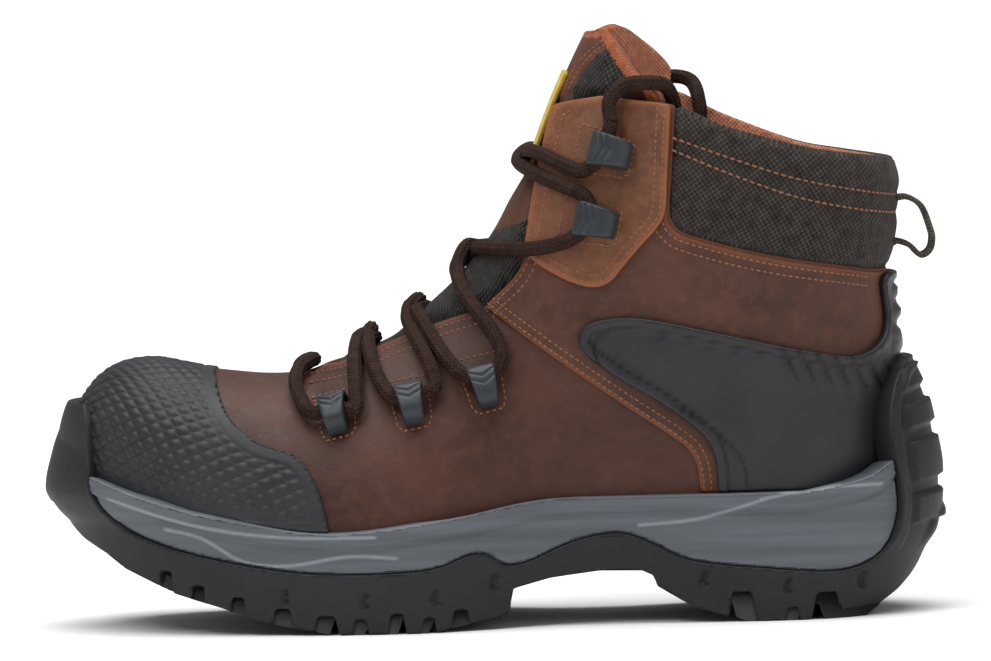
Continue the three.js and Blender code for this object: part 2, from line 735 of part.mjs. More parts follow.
function midsoleTop(drop) {
  const heel = MIDSOLE_HEEL_RISE.map(onSole);
  const line = rimSamples.filter((x) => x > heel[0][0] + 1).map((x) => [x, rimZ(x) - drop]);
  return [...heel.map(([x, z]) => [x, z - drop]).reverse(), ...line];
}

function makeMidsole() {
  const top = midsoleTop(0);
  const under = [[-farOut, RIM_HEIGHT], [-farOut, -farOut], [farOut, -farOut], [farOut, RIM_HEIGHT]];
  const all = prism([...under, ...top.reverse()]);
  const lip = prism(ribbon(midsoleTop(LIP_HEIGHT / 2), LIP_HEIGHT / 2, LIP_HEIGHT / 2));
  const side = join([bodyInset.intersect(all), body.intersect(lip).intersect(all)]);
  return side.subtract(prism(outsoleOutline(GAP))).subtract(room);
}

function makeInsole() {
  const rows = [{ drop: RECESS_DEPTH, share: 0 }, { drop: RECESS_DEPTH - INSOLE_THICKNESS, share: 0 }];
  return block(formSurface(rows), -WALL - GAP);
}

const collarOutline = (() => {
  const throat = smoothLine(THROAT_LINE.slice(0, 6).map(onUpper)).slice(0, -1);
  const front = smoothLine(THROAT_LINE.slice(5).map(onUpper));
  const collar = smoothLine(COLLAR_LINE.map(onUpper)).slice(1);
  return [...throat, ...front, ...collar];
})();

// Everything over the throat and collar lines.
function openingPrism(gap) {
  const line = shiftLine(collarOutline, -gap);
  const [firstX] = line[0];
  const lastZ = line[line.length - 1][1];
  return prism([...line, [-farOut, lastZ], [-farOut, farOut], [firstX, farOut]]);
}

function cuffPrism(gap) {
  const line = shiftLine(CUFF_LINE.map(onUpper), gap);
  const lastZ = line[line.length - 1][1];
  return prism([[line[0][0], farOut], ...line, [-farOut, lastZ], [-farOut, farOut]]);
}

const opening = openingPrism(0);

function makeUpper() {
  const wall = layer(wholeForm, -WALL, 0);
  const quarterLine = QUARTER_LINE.map(onUpper);
  const lowest = [-farOut, RIM_HEIGHT - RECESS_DEPTH];
  const behind = prism([...quarterLine, lowest, [-farOut, farOut], [quarterLine[0][0], farOut]]);
  const quarter = layer(wholeForm, -WALL / 2, QUARTER_STEP).intersect(behind).intersect(aboveRim(GAP));
  return wall.add(quarter).subtract(opening).subtract(cuffPrism(GAP));
}

function makeCuff() {
  return layer(wholeForm, -CUFF_DEPTH, CUFF_PUFF).intersect(cuffPrism(0)).subtract(opening);
}

function makeToeCap() {
  const line = TOE_CAP_LINE.map(onUpper);
  const region = prism([...line, [farOut, line[line.length - 1][1]], [farOut, farOut], [line[0][0], farOut]]);
  const bead = prism(ribbon(line, TOE_CAP_BORDER, 0));
  const cap = layer(wholeForm, GAP, toeCapOuter - RIM_BEAD / 2).intersect(region);
  const edge = layer(wholeForm, GAP, toeCapOuter).intersect(bead);
  return cap.add(edge).intersect(aboveRim(GAP));
}

function makeCounter() {
  const line = COUNTER_LINE.map(onUpper);
  const lastZ = line[line.length - 1][1];
  const region = prism([...line, [-farOut, lastZ], [-farOut, -farOut], [line[0][0], -farOut]]);
  const bead = prism(ribbon(line, COUNTER_BORDER, 0));
  const shell = layer(wholeForm, counterInner, counterOuter - RIM_BEAD).intersect(region);
  const edge = layer(wholeForm, counterInner, counterOuter).intersect(bead);
  const blocks = STRIP_BLOCKS.map(({ low, high }) => {
    const [x, z0] = onUpper([0.012, low]);
    const [, z1] = onUpper([0, high]);
    return prism([[x, z0], [x, z1], [-farOut, z1 + POD_HEIGHT], [-farOut, z0 - POD_HEIGHT]]);
  });
  const raised = layer(wholeForm, counterInner, counterOuter + POD_HEIGHT - RIM_BEAD).intersect(join(blocks));
  return join([shell, edge, raised]).intersect(aboveRim(GAP));
}

const facingInner = QUARTER_STEP + GAP;
const facingOuter = facingInner + OVERLAY;

function makeFacing(side) {
  const line = FACING_LINE.map(onUpper);
  const [endX, endZ] = line[line.length - 1];
  const region = prism([...line, [endX + FACING_TOP_WIDTH, endZ], [farOut, farOut], [line[0][0], farOut]]);
  const strip = layer(wholeForm, facingInner, facingOuter).intersect(region).subtract(opening);
  return strip.subtract(cuffPrism(GAP)).intersect(halfSpace(side));
}

const throatRows = THROAT_LINE.map(([u, w]) => ({ at: u, rise: w })).sort((a, b) => a.at - b.at);
const throatHeight = curve(throatRows, "rise");

// The tongue swells between the two edges of the throat, less so at its top.
function tonguePuff(point) {
  const share = (point.x - upperBack) / upperLength;
  const lineZ = RIM_HEIGHT + COLLAR_RISE * throatHeight(share);
  const height = (point.z - RIM_HEIGHT) / COLLAR_RISE;
  const clearOfEdge = smooth((point.z - lineZ - TONGUE_PUFF) / TONGUE_SWELL_WIDTH);
  const swell = clearOfEdge * (1 - smooth((height - 0.6) / 0.27));
  return mix(-WALL - GAP, TONGUE_PUFF, swell);
}

function makeTongue() {
  const pieces = [[1, TONGUE_LATERAL], [-1, TONGUE_MEDIAL]].map(([side, places]) => {
    const line = places.map(onUpper);
    const [startX, startZ] = line[0];
    const [endX] = line[line.length - 1];
    const front = startX + TONGUE_REACH;
    const region = [...line, [endX, farOut], [front, farOut], [front, startZ]];
    return layer(wholeForm, (p) => tonguePuff(p) - TONGUE_THICKNESS, tonguePuff)
      .intersect(prism(region)).intersect(halfSpace(side));
  });
  const clear = openingPrism(GAP);
  const wallRoom = layer(wholeForm, -WALL - GAP, TONGUE_PUFF + QUARTER_STEP).subtract(clear);
  const cuffRoom = layer(wholeForm, -CUFF_DEPTH - GAP, CUFF_PUFF).intersect(cuffPrism(GAP)).subtract(clear);
  return join(pieces).subtract(wallRoom).subtract(cuffRoom);
}

// A plain woven tab that lies on the front of the tongue.
function makeTab() {
  const outline = TAB_LINE.map(onUpper);
  const inner = -WALL;
  return layer(wholeForm, inner, inner + TAB_THICKNESS)
    .intersect(prism(outline, -TAB_WIDTH / 2, TAB_WIDTH / 2))
    .intersect(openingPrism(GAP));
}

function makePullLoop() {
  const half = WEBBING_THICKNESS / 2;
  const outline = ribbon(PULL_LOOP_LINE.map(onUpper), half, half);
  return prism(outline, -WEBBING_WIDTH / 2, WEBBING_WIDTH / 2);
}

// A place a distance out from the form, given in the side view.
function overForm([x, z], side, distance) {
  const point = formPoint(x, z - rimZ(x), side);
  return point.clone().addScaledVector(formNormal(point), distance);
}

// The frame of a lace fitting: where it sits, the way the lace runs through it,
// away from the throat, and outward.
function fittingFrame(places, index, side, base) {
  const [x, z] = onUpper(places[index]);
  const [x0, z0] = onUpper(places[Math.max(0, index - 1)]);
  const [x1, z1] = onUpper(places[Math.min(places.length - 1, index + 1)]);
  const point = formPoint(x, z - rimZ(x), side);
  const out = formNormal(point);
  const along = new THREE.Vector3(x1 - x0, 0, z1 - z0);
  along.addScaledVector(out, -along.dot(out)).normalize();
  const away = new THREE.Vector3().crossVectors(out, along).multiplyScalar(-side);
  return { origin: point.addScaledVector(out, base), along, away, out };
}

const boreHalf = laceRadius + BORE_CLEARANCE;
const bridgeTop = 2 * boreHalf + GAP;
const endHalf = FITTING_LENGTH / 2;
const footTop = GAP + FITTING_WALL;
const bridgeCrown = bridgeTop + FITTING_WALL;

// The fitting's outline across the lace: away from the throat, then outward.
const BRIDGE = [
  [-endHalf, GAP], [-boreHalf, GAP], [-boreHalf, bridgeTop * 0.65], [-boreHalf * 0.55, bridgeTop],
  [boreHalf * 0.55, bridgeTop], [boreHalf, bridgeTop * 0.65], [boreHalf, GAP], [endHalf, GAP],
  [endHalf, footTop], [boreHalf * 1.45, bridgeTop * 0.8], [boreHalf * 0.8, bridgeCrown],
  [-boreHalf * 0.8, bridgeCrown], [-boreHalf * 1.45, bridgeTop * 0.8], [-endHalf, footTop],
];
const hookCeiling = footTop + 2 * boreHalf;
const hookCrown = hookCeiling + FITTING_WALL;
const hookLip = endHalf - FITTING_WALL;
const HOOK = [
  [-endHalf, GAP], [endHalf * 0.7, GAP], [endHalf * 0.7, footTop], [-boreHalf, footTop],
  [-boreHalf, hookCeiling], [hookLip, hookCeiling], [hookLip, hookCeiling - HOOK_LIP_DROP],
  [endHalf, hookCeiling - HOOK_LIP_DROP], [endHalf, hookCrown], [-boreHalf - HOOK_LIP_DROP, hookCrown],
  [-endHalf, footTop + HOOK_LIP_DROP],
];

function makeFitting(outline, frame, tipShare) {
  const shape = new THREE.Shape(outline.map(([a, b]) => new THREE.Vector2(a, b)));
  const geometry = new THREE.ExtrudeGeometry(shape, { depth: FITTING_WIDTH, bevelEnabled: false });
  geometry.translate(0, 0, -FITTING_WIDTH / 2);
  const position = geometry.getAttribute("position");
  for (let i = 0; i < position.count; i += 1) {
    const width = mix(1, tipShare, (position.getX(i) + endHalf) / FITTING_LENGTH);
    position.setZ(i, position.getZ(i) * width);
  }
  const { origin, along, away, out } = frame;
  const turn = new THREE.Matrix4().makeBasis(away, out, along);
  if (turn.determinant() < 0) {
    turn.makeBasis(away, out, along.clone().negate());
  }
  geometry.applyMatrix4(turn.setPosition(origin));
  return fromGeometry(geometry);
}

const loopFrame = (index, side) => fittingFrame(LOOP_PLACES, index, side, FITTING_SEAT);
const hookFrame = (index, side) => fittingFrame(HOOK_PLACES, index, side, facingOuter + FITTING_SEAT);
const loopCore = GAP + boreHalf;
const hookCore = footTop + boreHalf;

// The middle of the lace inside a fitting, a distance along it.
function laceAt({ origin, along, out }, core, distance) {
  return origin.clone().addScaledVector(out, core).addScaledVector(along, distance);
}

// The lace from one side to the other, lying over the form.
function crossing(from, to, lift, outward) {
  const inside = (p) => {
    const rise = p.z - rimZ(p.x);
    const { centre, half, power, top } = formSection(p.x, rise);
    return Math.pow(Math.abs(p.y - centre) / half, power) + Math.pow(Math.max(0, rise) / top, power) < 1;
  };
  const points = [];
  for (const t of [0.2, 0.35, 0.5, 0.65, 0.8]) {
    const guide = from.clone().lerp(to, t);
    let low = -SHAFT_WIDTH / 4;
    let high = SHAFT_WIDTH * 0.75;
    for (let pass = 0; pass < BISECTIONS; pass += 1) {
      const middle = (low + high) / 2;
      if (inside(guide.clone().addScaledVector(outward, middle))) {
        low = middle;
      } else {
        high = middle;
      }
    }
    const place = guide.addScaledVector(outward, low);
    points.push(place.addScaledVector(formNormal(place), lift));
  }
  return points;
}

const entry = FITTING_WIDTH / 2 + LACE_ENTRY;
const lowLift = TONGUE_PUFF + laceRadius + LACE_CLEARANCE + GAP;
const footOutward = new THREE.Vector3(0.3, 0, 1).normalize();
const instepOutward = new THREE.Vector3(0.6, 0, 1).normalize();
const shaftOutward = new THREE.Vector3(1, 0, 0.45).normalize();
const highLift = facingOuter + laceRadius + LACE_CLEARANCE + FITTING_SEAT;

// Half of the lacing: from the middle of the lowest bar, through a loop, then
// across to the other side at each step up.
function lacePath(side) {
  const stops = [
    { frame: loopFrame(0, side), core: loopCore },
    { frame: loopFrame(1, -side), core: loopCore },
    { frame: loopFrame(2, side), core: loopCore },
    { frame: hookFrame(0, -side), core: hookCore },
    { frame: hookFrame(1, side), core: hookCore },
  ];
  const other = laceAt(loopFrame(0, -side), 0, -entry);
  const bar = crossing(other, laceAt(stops[0].frame, 0, -entry), lowLift - TONGUE_PUFF, footOutward);
  const points = bar.slice(2);
  stops.forEach(({ frame, core }, i) => {
    points.push(laceAt(frame, core, -entry), laceAt(frame, core, 0), laceAt(frame, core, entry));
    if (i < stops.length - 1) {
      const next = stops[i + 1];
      const lift = next.core === hookCore ? highLift : lowLift;
      const outward = core === hookCore ? shaftOutward : instepOutward;
      points.push(...crossing(laceAt(frame, 0, entry), laceAt(next.frame, 0, -entry), lift, outward));
    }
  });
  return points;
}

function cord(points) {
  const path = new THREE.CatmullRomCurve3(points);
  const round = Array.from({ length: LACE_SIDES }, (_, i) => {
    const angle = (2 * Math.PI * i) / LACE_SIDES;
    return new THREE.Vector2(laceRadius * Math.cos(angle), laceRadius * Math.sin(angle));
  });
  const shape = new THREE.Shape(round);
  const steps = Math.round((path.getLength() * LACE_STEPS_PER_DIAMETER) / LACE_DIAMETER);
  return fromGeometry(new THREE.ExtrudeGeometry(shape, { steps, extrudePath: path, bevelEnabled: false }));
}

const makeLace = () => cord(lacePath(1)).add(cord(lacePath(-1)));

// The two ends of the lace: up from the top hook, over the collar and down inside,
// clear of the edge of the tongue. Off is the distance out from the form, in diameters.
const LACE_END_LATERAL = [
  { along: 0.324, up: 0.985, off: 1.5 },
  { along: 0.31, up: 1.03, off: 0.89 },
  { along: 0.292, up: 1.04, off: 0.31 },
  { along: 0.276, up: 1.035, off: -0.77 },
  { along: 0.27, up: 0.985, off: -2.04 },
  { along: 0.27, up: 0.93, off: -2.04 },
  { along: 0.27, up: 0.88, off: -2.04 },
];
const LACE_END_MEDIAL = [
  { along: 0.318, up: 0.96, off: 1.42 },
  { along: 0.29, up: 1, off: 1.25 },
  { along: 0.262, up: 1.04, off: 0.8 },
  { along: 0.236, up: 1.035, off: -0.4 },
  { along: 0.229, up: 0.975, off: -2 },
  { along: 0.229, up: 0.91, off: -2.1 },
  { along: 0.229, up: 0.87, off: -2.1 },
];

function makeLaceEnd(side) {
  const start = laceAt(hookFrame(1, side), hookCore, entry + 4 * GAP);
  const rows = side > 0 ? LACE_END_LATERAL : LACE_END_MEDIAL;
  const places = rows.map(({ along, up, off }) => overForm(onUpper([along, up]), side, off * LACE_DIAMETER));
  return cord([start, ...places]);
}

function mesh(name, manifold, material) {
  const result = new THREE.Mesh(toGeometry(manifold), material);
  result.name = name;
  return result;
}

const leather = new THREE.MeshStandardMaterial({ name: "leather", color: 0x6b4f49, roughness: 0.6 });
const rubber = new THREE.MeshStandardMaterial({ name: "rubber", color: 0x3a3a3c, roughness: 0.8 });
const foam = new THREE.MeshStandardMaterial({ name: "foam", color: 0x5c5e64, roughness: 0.9 });
const textile = new THREE.MeshStandardMaterial({ name: "textile", color: 0x484240, roughness: 0.9 });

const boot = new THREE.Group();
boot.name = "safety_boot";
boot.add(
  mesh("outsole", makeOutsole(), rubber),
  mesh("midsole", makeMidsole(), foam),
  mesh("upper", makeUpper(), leather),
  mesh("insole", makeInsole(), textile),
  mesh("tongue", makeTongue(), leather),
  mesh("toe_cap", makeToeCap(), rubber),
  mesh("heel_counter", makeCounter(), rubber),
  mesh("collar_cuff", makeCuff(), textile),
  mesh("hook_facing_lateral", makeFacing(1), leather),
  mesh("hook_facing_medial", makeFacing(-1), leather),
  mesh("tongue_tab", makeTab(), textile),
  mesh("pull_loop", makePullLoop(), textile),
  mesh("lace", makeLace(), textile),
);
for (const [name, side] of [["lateral", 1], ["medial", -1]]) {
  LOOP_PLACES.forEach((_, i) => {
    boot.add(mesh(`lace_loop_${name}_${i + 1}`, makeFitting(BRIDGE, loopFrame(i, side), 0.65), rubber));
  });
  HOOK_PLACES.forEach((_, i) => {
    boot.add(mesh(`speed_hook_${name}_${i + 1}`, makeFitting(HOOK, hookFrame(i, side), 0.75), rubber));
  });
  boot.add(mesh(`lace_end_${name}`, makeLaceEnd(side), textile));
}

export default boot;
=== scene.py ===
# %% [markdown]
# # A laced leather safety boot
# The boot stands on its sole with its toe along +X and its outer side along +Y.
# The construction is already fixed at its real size. This lesson puts the finished
# surfaces round it: leather, moulded rubber, foam, woven textile and braided lace.
# All lengths below are millimetres until a mesh is made.

# %% Load the fixed parts
import math
import bmesh
import bpy
import numpy as np
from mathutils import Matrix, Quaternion, Vector
from mathutils.bvhtree import BVHTree


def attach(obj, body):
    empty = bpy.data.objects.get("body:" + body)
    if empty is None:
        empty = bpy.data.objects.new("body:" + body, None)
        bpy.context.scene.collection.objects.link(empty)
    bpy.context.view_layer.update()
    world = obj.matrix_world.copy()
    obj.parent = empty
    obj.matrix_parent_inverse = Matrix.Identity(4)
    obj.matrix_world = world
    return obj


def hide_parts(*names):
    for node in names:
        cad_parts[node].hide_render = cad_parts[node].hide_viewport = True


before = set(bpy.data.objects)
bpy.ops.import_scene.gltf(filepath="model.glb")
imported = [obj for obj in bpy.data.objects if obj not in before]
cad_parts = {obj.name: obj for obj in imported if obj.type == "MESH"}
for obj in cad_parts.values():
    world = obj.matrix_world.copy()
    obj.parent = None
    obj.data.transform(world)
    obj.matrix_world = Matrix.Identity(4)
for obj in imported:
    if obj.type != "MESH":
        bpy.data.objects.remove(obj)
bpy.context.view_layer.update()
MM = 0.001

# %% [markdown]
# ## Camera
# The boot is seen square from its outer side, from a few degrees above the floor,
# through a long lens. The picture is turned a degree and a half, so that the heel
# sits a little higher than the toe.

# %% Camera
VIEW_HEIGHT_DEG = 3.0
VIEW_ROLL_DEG = 1.493
VIEW_DISTANCE = 2.6
VIEW_TARGET = Vector((-0.0027, 0.022, 0.1012))
FRAME_WIDTH = 0.342

camera_data = bpy.data.cameras.new("side_view")
camera = bpy.data.objects.new("side_view", camera_data)
bpy.context.scene.collection.objects.link(camera)
bpy.context.scene.camera = camera
tilt = math.radians(VIEW_HEIGHT_DEG)
back = Vector((0, math.cos(tilt), math.sin(tilt)))
camera.location = VIEW_TARGET + back * VIEW_DISTANCE
roll = Quaternion((0, 0, 1), -math.radians(VIEW_ROLL_DEG))
camera.rotation_mode = "QUATERNION"
camera.rotation_quaternion = (-back).to_track_quat("-Z", "Y") @ roll
camera_data.sensor_width = 36
camera_data.lens = 36 * VIEW_DISTANCE / FRAME_WIDTH
camera_data.clip_start = 0.1
camera_data.clip_end = 60
bpy.context.scene.view_settings.view_transform = "Standard"
print("camera lens", round(camera_data.lens, 1), "mm")

# %% [markdown]
# ## Making meshes and materials
# Every piece starts as a list of points and faces in millimetres. Colours are read off
# as sRGB hex values, and the shader works in linear light, so one function turns the one
# into the other. Another adds a node with its settings and its links.

# %% Mesh and material helpers
def make_object(name, points, faces, materials, material_index=None, attributes=None, uv=None):
    """A piece from points in millimetres, with its finishes, its attributes and its UV map."""
    mesh = bpy.data.meshes.new(name)
    corners = [tuple(point) for point in np.asarray(points) * MM]
    mesh.from_pydata(corners, [], [tuple(int(i) for i in face) for face in faces])
    for material in materials:
        mesh.materials.append(material)
    if material_index is not None:
        mesh.polygons.foreach_set("material_index", np.asarray(material_index, np.int32))
    mesh.polygons.foreach_set("use_smooth", np.full(len(mesh.polygons), True))
    for key, values in (attributes or {}).items():
        layer = mesh.attributes.new(key, "FLOAT", "POINT")
        layer.data.foreach_set("value", np.asarray(values, np.float32))
    if uv is not None:
        corner = np.zeros(len(mesh.loops), np.int32)
        mesh.loops.foreach_get("vertex_index", corner)
        layer = mesh.uv_layers.new(name="surface")
        layer.data.foreach_set("uv", (np.asarray(uv)[corner] * MM).astype(np.float32).ravel())
    mesh.update()
    piece = bpy.data.objects.new(name, mesh)
    bpy.context.scene.collection.objects.link(piece)
    return piece


def colour(code):
    """A linear colour from an sRGB hex value."""
    channels = [int(code[i:i + 2], 16) / 255 for i in (1, 3, 5)]
    linear = [c / 12.92 if c <= 0.04045 else ((c + 0.055) / 1.055) ** 2.4 for c in channels]
    return (*linear, 1.0)


def add(tree, kind, links=None, **settings):
    """A node with its settings. A link is another node's socket or a plain value."""
    made = tree.nodes.new(kind)
    for key, value in settings.items():
        setattr(made, key, value)
    for socket, source in (links or {}).items():
        if isinstance(source, bpy.types.NodeSocket):
            tree.links.new(source, made.inputs[socket])
        else:
            made.inputs[socket].default_value = source
    return made


def new_material(name, roughness, **sockets):
    """A material, its tree and its shader, with even values set on the shader itself."""
    material = bpy.data.materials.new(name)
    material.use_nodes = True
    tree = material.node_tree
    shader = tree.nodes["Principled BSDF"]
    shader.inputs["Roughness"].default_value = roughness
    for key, value in sockets.items():
        shader.inputs[key.replace("_", " ")].default_value = value
    return material, tree, shader


print("helpers ready")

# %% [markdown]
# ## Woven and braided cloth
# Plain weave: on a checkerboard of crossings, every other thread lies on top. The colour
# carries painted shade in the valleys between threads and painted light on their crowns. The UV map
# is in metres along the surface, so the thread spacing is a real size. A braid is the
# same weave turned by half a right angle, and the lace's ribs run along it.

# %% Cloth
def woven(name, valley_shade, crown, spacing, roughness, turn=0.0, depth=0.0005, sheen=0.15):
    """Threads over and under each other: painted shade in the valleys between them, painted light on the
    crowns on top.
    """
    material, tree, shader = new_material(name, roughness, Sheen_Weight=sheen, Sheen_Roughness=0.5,
                                          Specular_IOR_Level=0.15)
    uv = add(tree, "ShaderNodeTexCoord").outputs["UV"]
    scaled = add(tree, "ShaderNodeMapping", {"Vector": uv, "Rotation": (0, 0, turn),
                                             "Scale": (1 / spacing, 1 / spacing, 1)})
    split = add(tree, "ShaderNodeSeparateXYZ", {"Vector": scaled.outputs["Vector"]})
    arch = []
    whole = []
    for axis in ("X", "Y"):
        share = add(tree, "ShaderNodeMath", {0: split.outputs[axis]}, operation="FRACT").outputs[0]
        half_turn = add(tree, "ShaderNodeMath", {0: share, 1: math.pi}, operation="MULTIPLY").outputs[0]
        arch.append(add(tree, "ShaderNodeMath", {0: half_turn}, operation="SINE").outputs[0])
        whole.append(add(tree, "ShaderNodeMath", {0: split.outputs[axis]}, operation="FLOOR").outputs[0])
    total = add(tree, "ShaderNodeMath", {0: whole[0], 1: whole[1]}, operation="ADD").outputs[0]
    parity = add(tree, "ShaderNodeMath", {0: total, 1: 2.0}, operation="FLOORED_MODULO").outputs[0]
    heights = []
    for first, second in ((0, 1), (1, 0)):
        across = add(tree, "ShaderNodeMath", {0: arch[first], 1: 0.5}, operation="POWER").outputs[0]
        lengthwise = add(tree, "ShaderNodeMapRange", {"Value": arch[second], "To Min": 0.45, "To Max": 1.0})
        heights.append(add(tree, "ShaderNodeMath", {0: across, 1: lengthwise.outputs["Result"]},
                           operation="MULTIPLY").outputs[0])
    thread = add(tree, "ShaderNodeMix", {"Factor": parity, 2: heights[0], 3: heights[1]}, data_type="FLOAT")
    place = add(tree, "ShaderNodeTexCoord").outputs["Object"]
    uneven = add(tree, "ShaderNodeTexNoise", {"Vector": place, "Scale": 300.0, "Detail": 3.0})
    lit = add(tree, "ShaderNodeMath", {0: thread.outputs[0], 1: uneven.outputs["Fac"]},
              operation="MULTIPLY")
    shade = add(tree, "ShaderNodeMapRange", {"Value": lit.outputs[0], "From Min": 0.12, "From Max": 0.55})
    # Painted shade and light: the colour goes darker in the valleys between threads and lighter on their
    # crowns, with a random unevenness.
    tone = add(tree, "ShaderNodeMix", {"Factor": shade.outputs["Result"], 6: colour(valley_shade),
                                       7: colour(crown)}, data_type="RGBA").outputs[2]
    tree.links.new(tone, shader.inputs["Base Color"])
    bump = add(tree, "ShaderNodeBump", {"Height": thread.outputs[0], "Strength": 0.7, "Distance": depth})
    tree.links.new(bump.outputs["Normal"], shader.inputs["Normal"])
    return material


# Coarse nylon: threads thick enough that their crossings show as a checked grain.
cuff_textile = woven("cuff_textile", "#1a1715", "#443d39", 0.0014, 0.8, 0.6, 0.0005, 0.05)
# Tongue cloth: a dull knit whose threads lie aslant.
tongue_textile = woven("tongue_textile", "#121110", "#413e3b", 0.0017, 0.85, 0.5, sheen=0.05)
# Lining mesh: fine rust threads without gloss.
lining_mesh = woven("lining_mesh", "#9c6048", "#d09070", 0.0011, 0.85, 0.785, 0.0003)
# Braided polyester: tight and matt, with painted shade between its strands.
lace_braid = woven("lace_braid", "#1a0f0c", "#3c2820", 0.0011, 0.8, 0.785, 0.0003, 0.0)
# Tape webbing: olive black, in a plain fine weave.
webbing = woven("webbing", "#2b2a22", "#5d5847", 0.0012, 0.8)
# Binding tape: smoother and brighter than the lining.
tongue_binding = woven("tongue_binding", "#7a4029", "#a9633f", 0.0009, 0.8, 0.0, 0.0002, 0.05)
# Label satin: a smooth yellow with hardly any thread to see.
tab_cloth = woven("tab_cloth", "#b3932c", "#e0c04f", 0.0007, 0.7, 0.0, 0.0002)
# Sewing thread: bonded nylon, a little paler wherever it catches the light.
thread_material, thread_tree, thread_shader = new_material("seam_thread", 0.6)
thread_place = add(thread_tree, "ShaderNodeTexCoord").outputs["Object"]
thread_noise = add(thread_tree, "ShaderNodeTexNoise", {"Vector": thread_place, "Scale": 500.0})
thread_tone = add(thread_tree, "ShaderNodeMix", {"Factor": thread_noise.outputs["Fac"],
                                                 6: colour("#64402a"), 7: colour("#9a6240")},
                  data_type="RGBA").outputs[2]
thread_tree.links.new(thread_tone, thread_shader.inputs["Base Color"])
print("cloth materials ready")

# %% [markdown]
# ## Cords
# A lace is a round braid. It is drawn as a smooth line through given points, swept
# with a circle, so its thickness never changes. Two stretches of it are free: each runs
# from the top hook over the collar's edge and down into the boot, tucked in as a wearer
# does to keep the ends from catching.

# %% Lines and tubes
def catmull(points, step):
    """A smooth line through points in space, in even steps."""
    p = np.array(points, float)
    ends = np.vstack([2 * p[0] - p[1], p, 2 * p[-1] - p[-2]])
    dense = []
    for i in range(1, len(ends) - 2):
        a, b, c, d = ends[i - 1:i + 3]
        k0 = np.linalg.norm(b - a) ** 0.5
        k1 = np.linalg.norm(c - b) ** 0.5
        k2 = np.linalg.norm(d - c) ** 0.5
        m1 = k1 * ((b - a) / k0 - (c - a) / (k0 + k1) + (c - b) / k1)
        m2 = k1 * ((c - b) / k1 - (d - b) / (k1 + k2) + (d - c) / k2)
        for t in np.linspace(0, 1, 24, endpoint=False):
            t2, t3 = t * t, t * t * t
            dense.append((2 * t3 - 3 * t2 + 1) * b + (t3 - 2 * t2 + t) * m1
                         + (3 * t2 - 2 * t3) * c + (t3 - t2) * m2)
    dense.append(p[-1])
    dense = np.array(dense)
    length = np.concatenate([[0], np.cumsum(np.linalg.norm(np.diff(dense, axis=0), axis=1))])
    even = np.linspace(0, length[-1], max(2, int(round(length[-1] / step))) + 1)
    return np.stack([np.interp(even, length, dense[:, i]) for i in range(3)], -1)


def tube(name, line, radius, sides, material, ribs=8, groove=0.17):
    """A closed ribbed tube along a line, with its UV map in metres round and along."""
    tangent = np.gradient(line, axis=0)
    tangent /= np.linalg.norm(tangent, axis=1, keepdims=True)
    normal = np.zeros_like(line)
    first = np.cross(tangent[0], (0.0, 1.0, 0.3))
    normal[0] = first / np.linalg.norm(first)
    for i in range(1, len(line)):
        carried = normal[i - 1] - tangent[i] * np.dot(normal[i - 1], tangent[i])
        normal[i] = carried / np.linalg.norm(carried)
    other = np.cross(tangent, normal)
    angle = 2 * np.pi * np.arange(sides) / sides
    along = np.concatenate([[0], np.cumsum(np.linalg.norm(np.diff(line, axis=0), axis=1))])
    ribbed = radius * (1 - groove * (0.5 + 0.5 * np.cos(ribs * angle)) ** 3)
    rings = (line[:, None, :] + (ribbed * np.cos(angle))[None, :, None] * normal[:, None, :]
             + (ribbed * np.sin(angle))[None, :, None] * other[:, None, :])
    points = np.concatenate([rings.reshape(-1, 3), line[:1], line[-1:]])
    faces = []
    count = len(line)
    for i in range(count - 1):
        for j in range(sides):
            k = (j + 1) % sides
            faces.append((i * sides + j, i * sides + k, (i + 1) * sides + k, (i + 1) * sides + j))
    cap = count * sides
    for j in range(sides):
        k = (j + 1) % sides
        faces.append((cap, k, j))
        faces.append((cap + 1, (count - 1) * sides + j, (count - 1) * sides + k))
    piece = make_object(name, points, faces, [material])
    layer = piece.data.uv_layers.new(name="surface")
    for polygon in piece.data.polygons:
        for corner in polygon.loop_indices:
            v = piece.data.loops[corner].vertex_index
            if v >= cap:
                layer.data[corner].uv = (0, 0)
                continue
            i, j = divmod(v, sides)
            wrapped = j if not (j == 0 and any(piece.data.loops[q].vertex_index % sides == sides - 1
                                               for q in polygon.loop_indices)) else sides
            layer.data[corner].uv = (wrapped / sides * 2 * math.pi * radius * MM, along[i] * MM)
    return piece, along[-1]


LACE_DIAMETER = 5.2
LACE_RADIUS = LACE_DIAMETER / 2
# The route of each free stretch, in metres: out of the top hook, over the collar, down
# the inside of the shaft.
LATERAL_ROUTE = [
    (-0.0441, 0.0379, 0.1724), (-0.0438, 0.0357, 0.1796), (-0.0491, 0.0343, 0.1848),
    (-0.0562, 0.035, 0.1856), (-0.0629, 0.0319, 0.1844), (-0.0662, 0.0267, 0.1771),
    (-0.0658, 0.0272, 0.1697), (-0.0655, 0.0276, 0.163),
]
MEDIAL_ROUTE = [
    (-0.044, -0.0381, 0.1723), (-0.0457, -0.0373, 0.1759), (-0.0548, -0.0404, 0.1807),
    (-0.0644, -0.0409, 0.1858), (-0.0734, -0.0366, 0.1847), (-0.0764, -0.029, 0.1762),
    (-0.0763, -0.0289, 0.1673), (-0.0762, -0.029, 0.1621),
]

# %% [markdown]
# ## Lace ends
# Each free end is swept along its own route.

# %% Lace ends
for label, route in (("lateral", LATERAL_ROUTE), ("medial", MEDIAL_ROUTE)):
    line = catmull([(1000 * x, 1000 * y, 1000 * z) for x, y, z in route], 0.8)
    lace_end, length = tube(f"lace_end_cord_{label}", line, LACE_RADIUS, 32, lace_braid)
    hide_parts(f"lace_end_{label}")
    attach(lace_end, "root")
    print(lace_end.name, "length", round(length, 1), "mm")

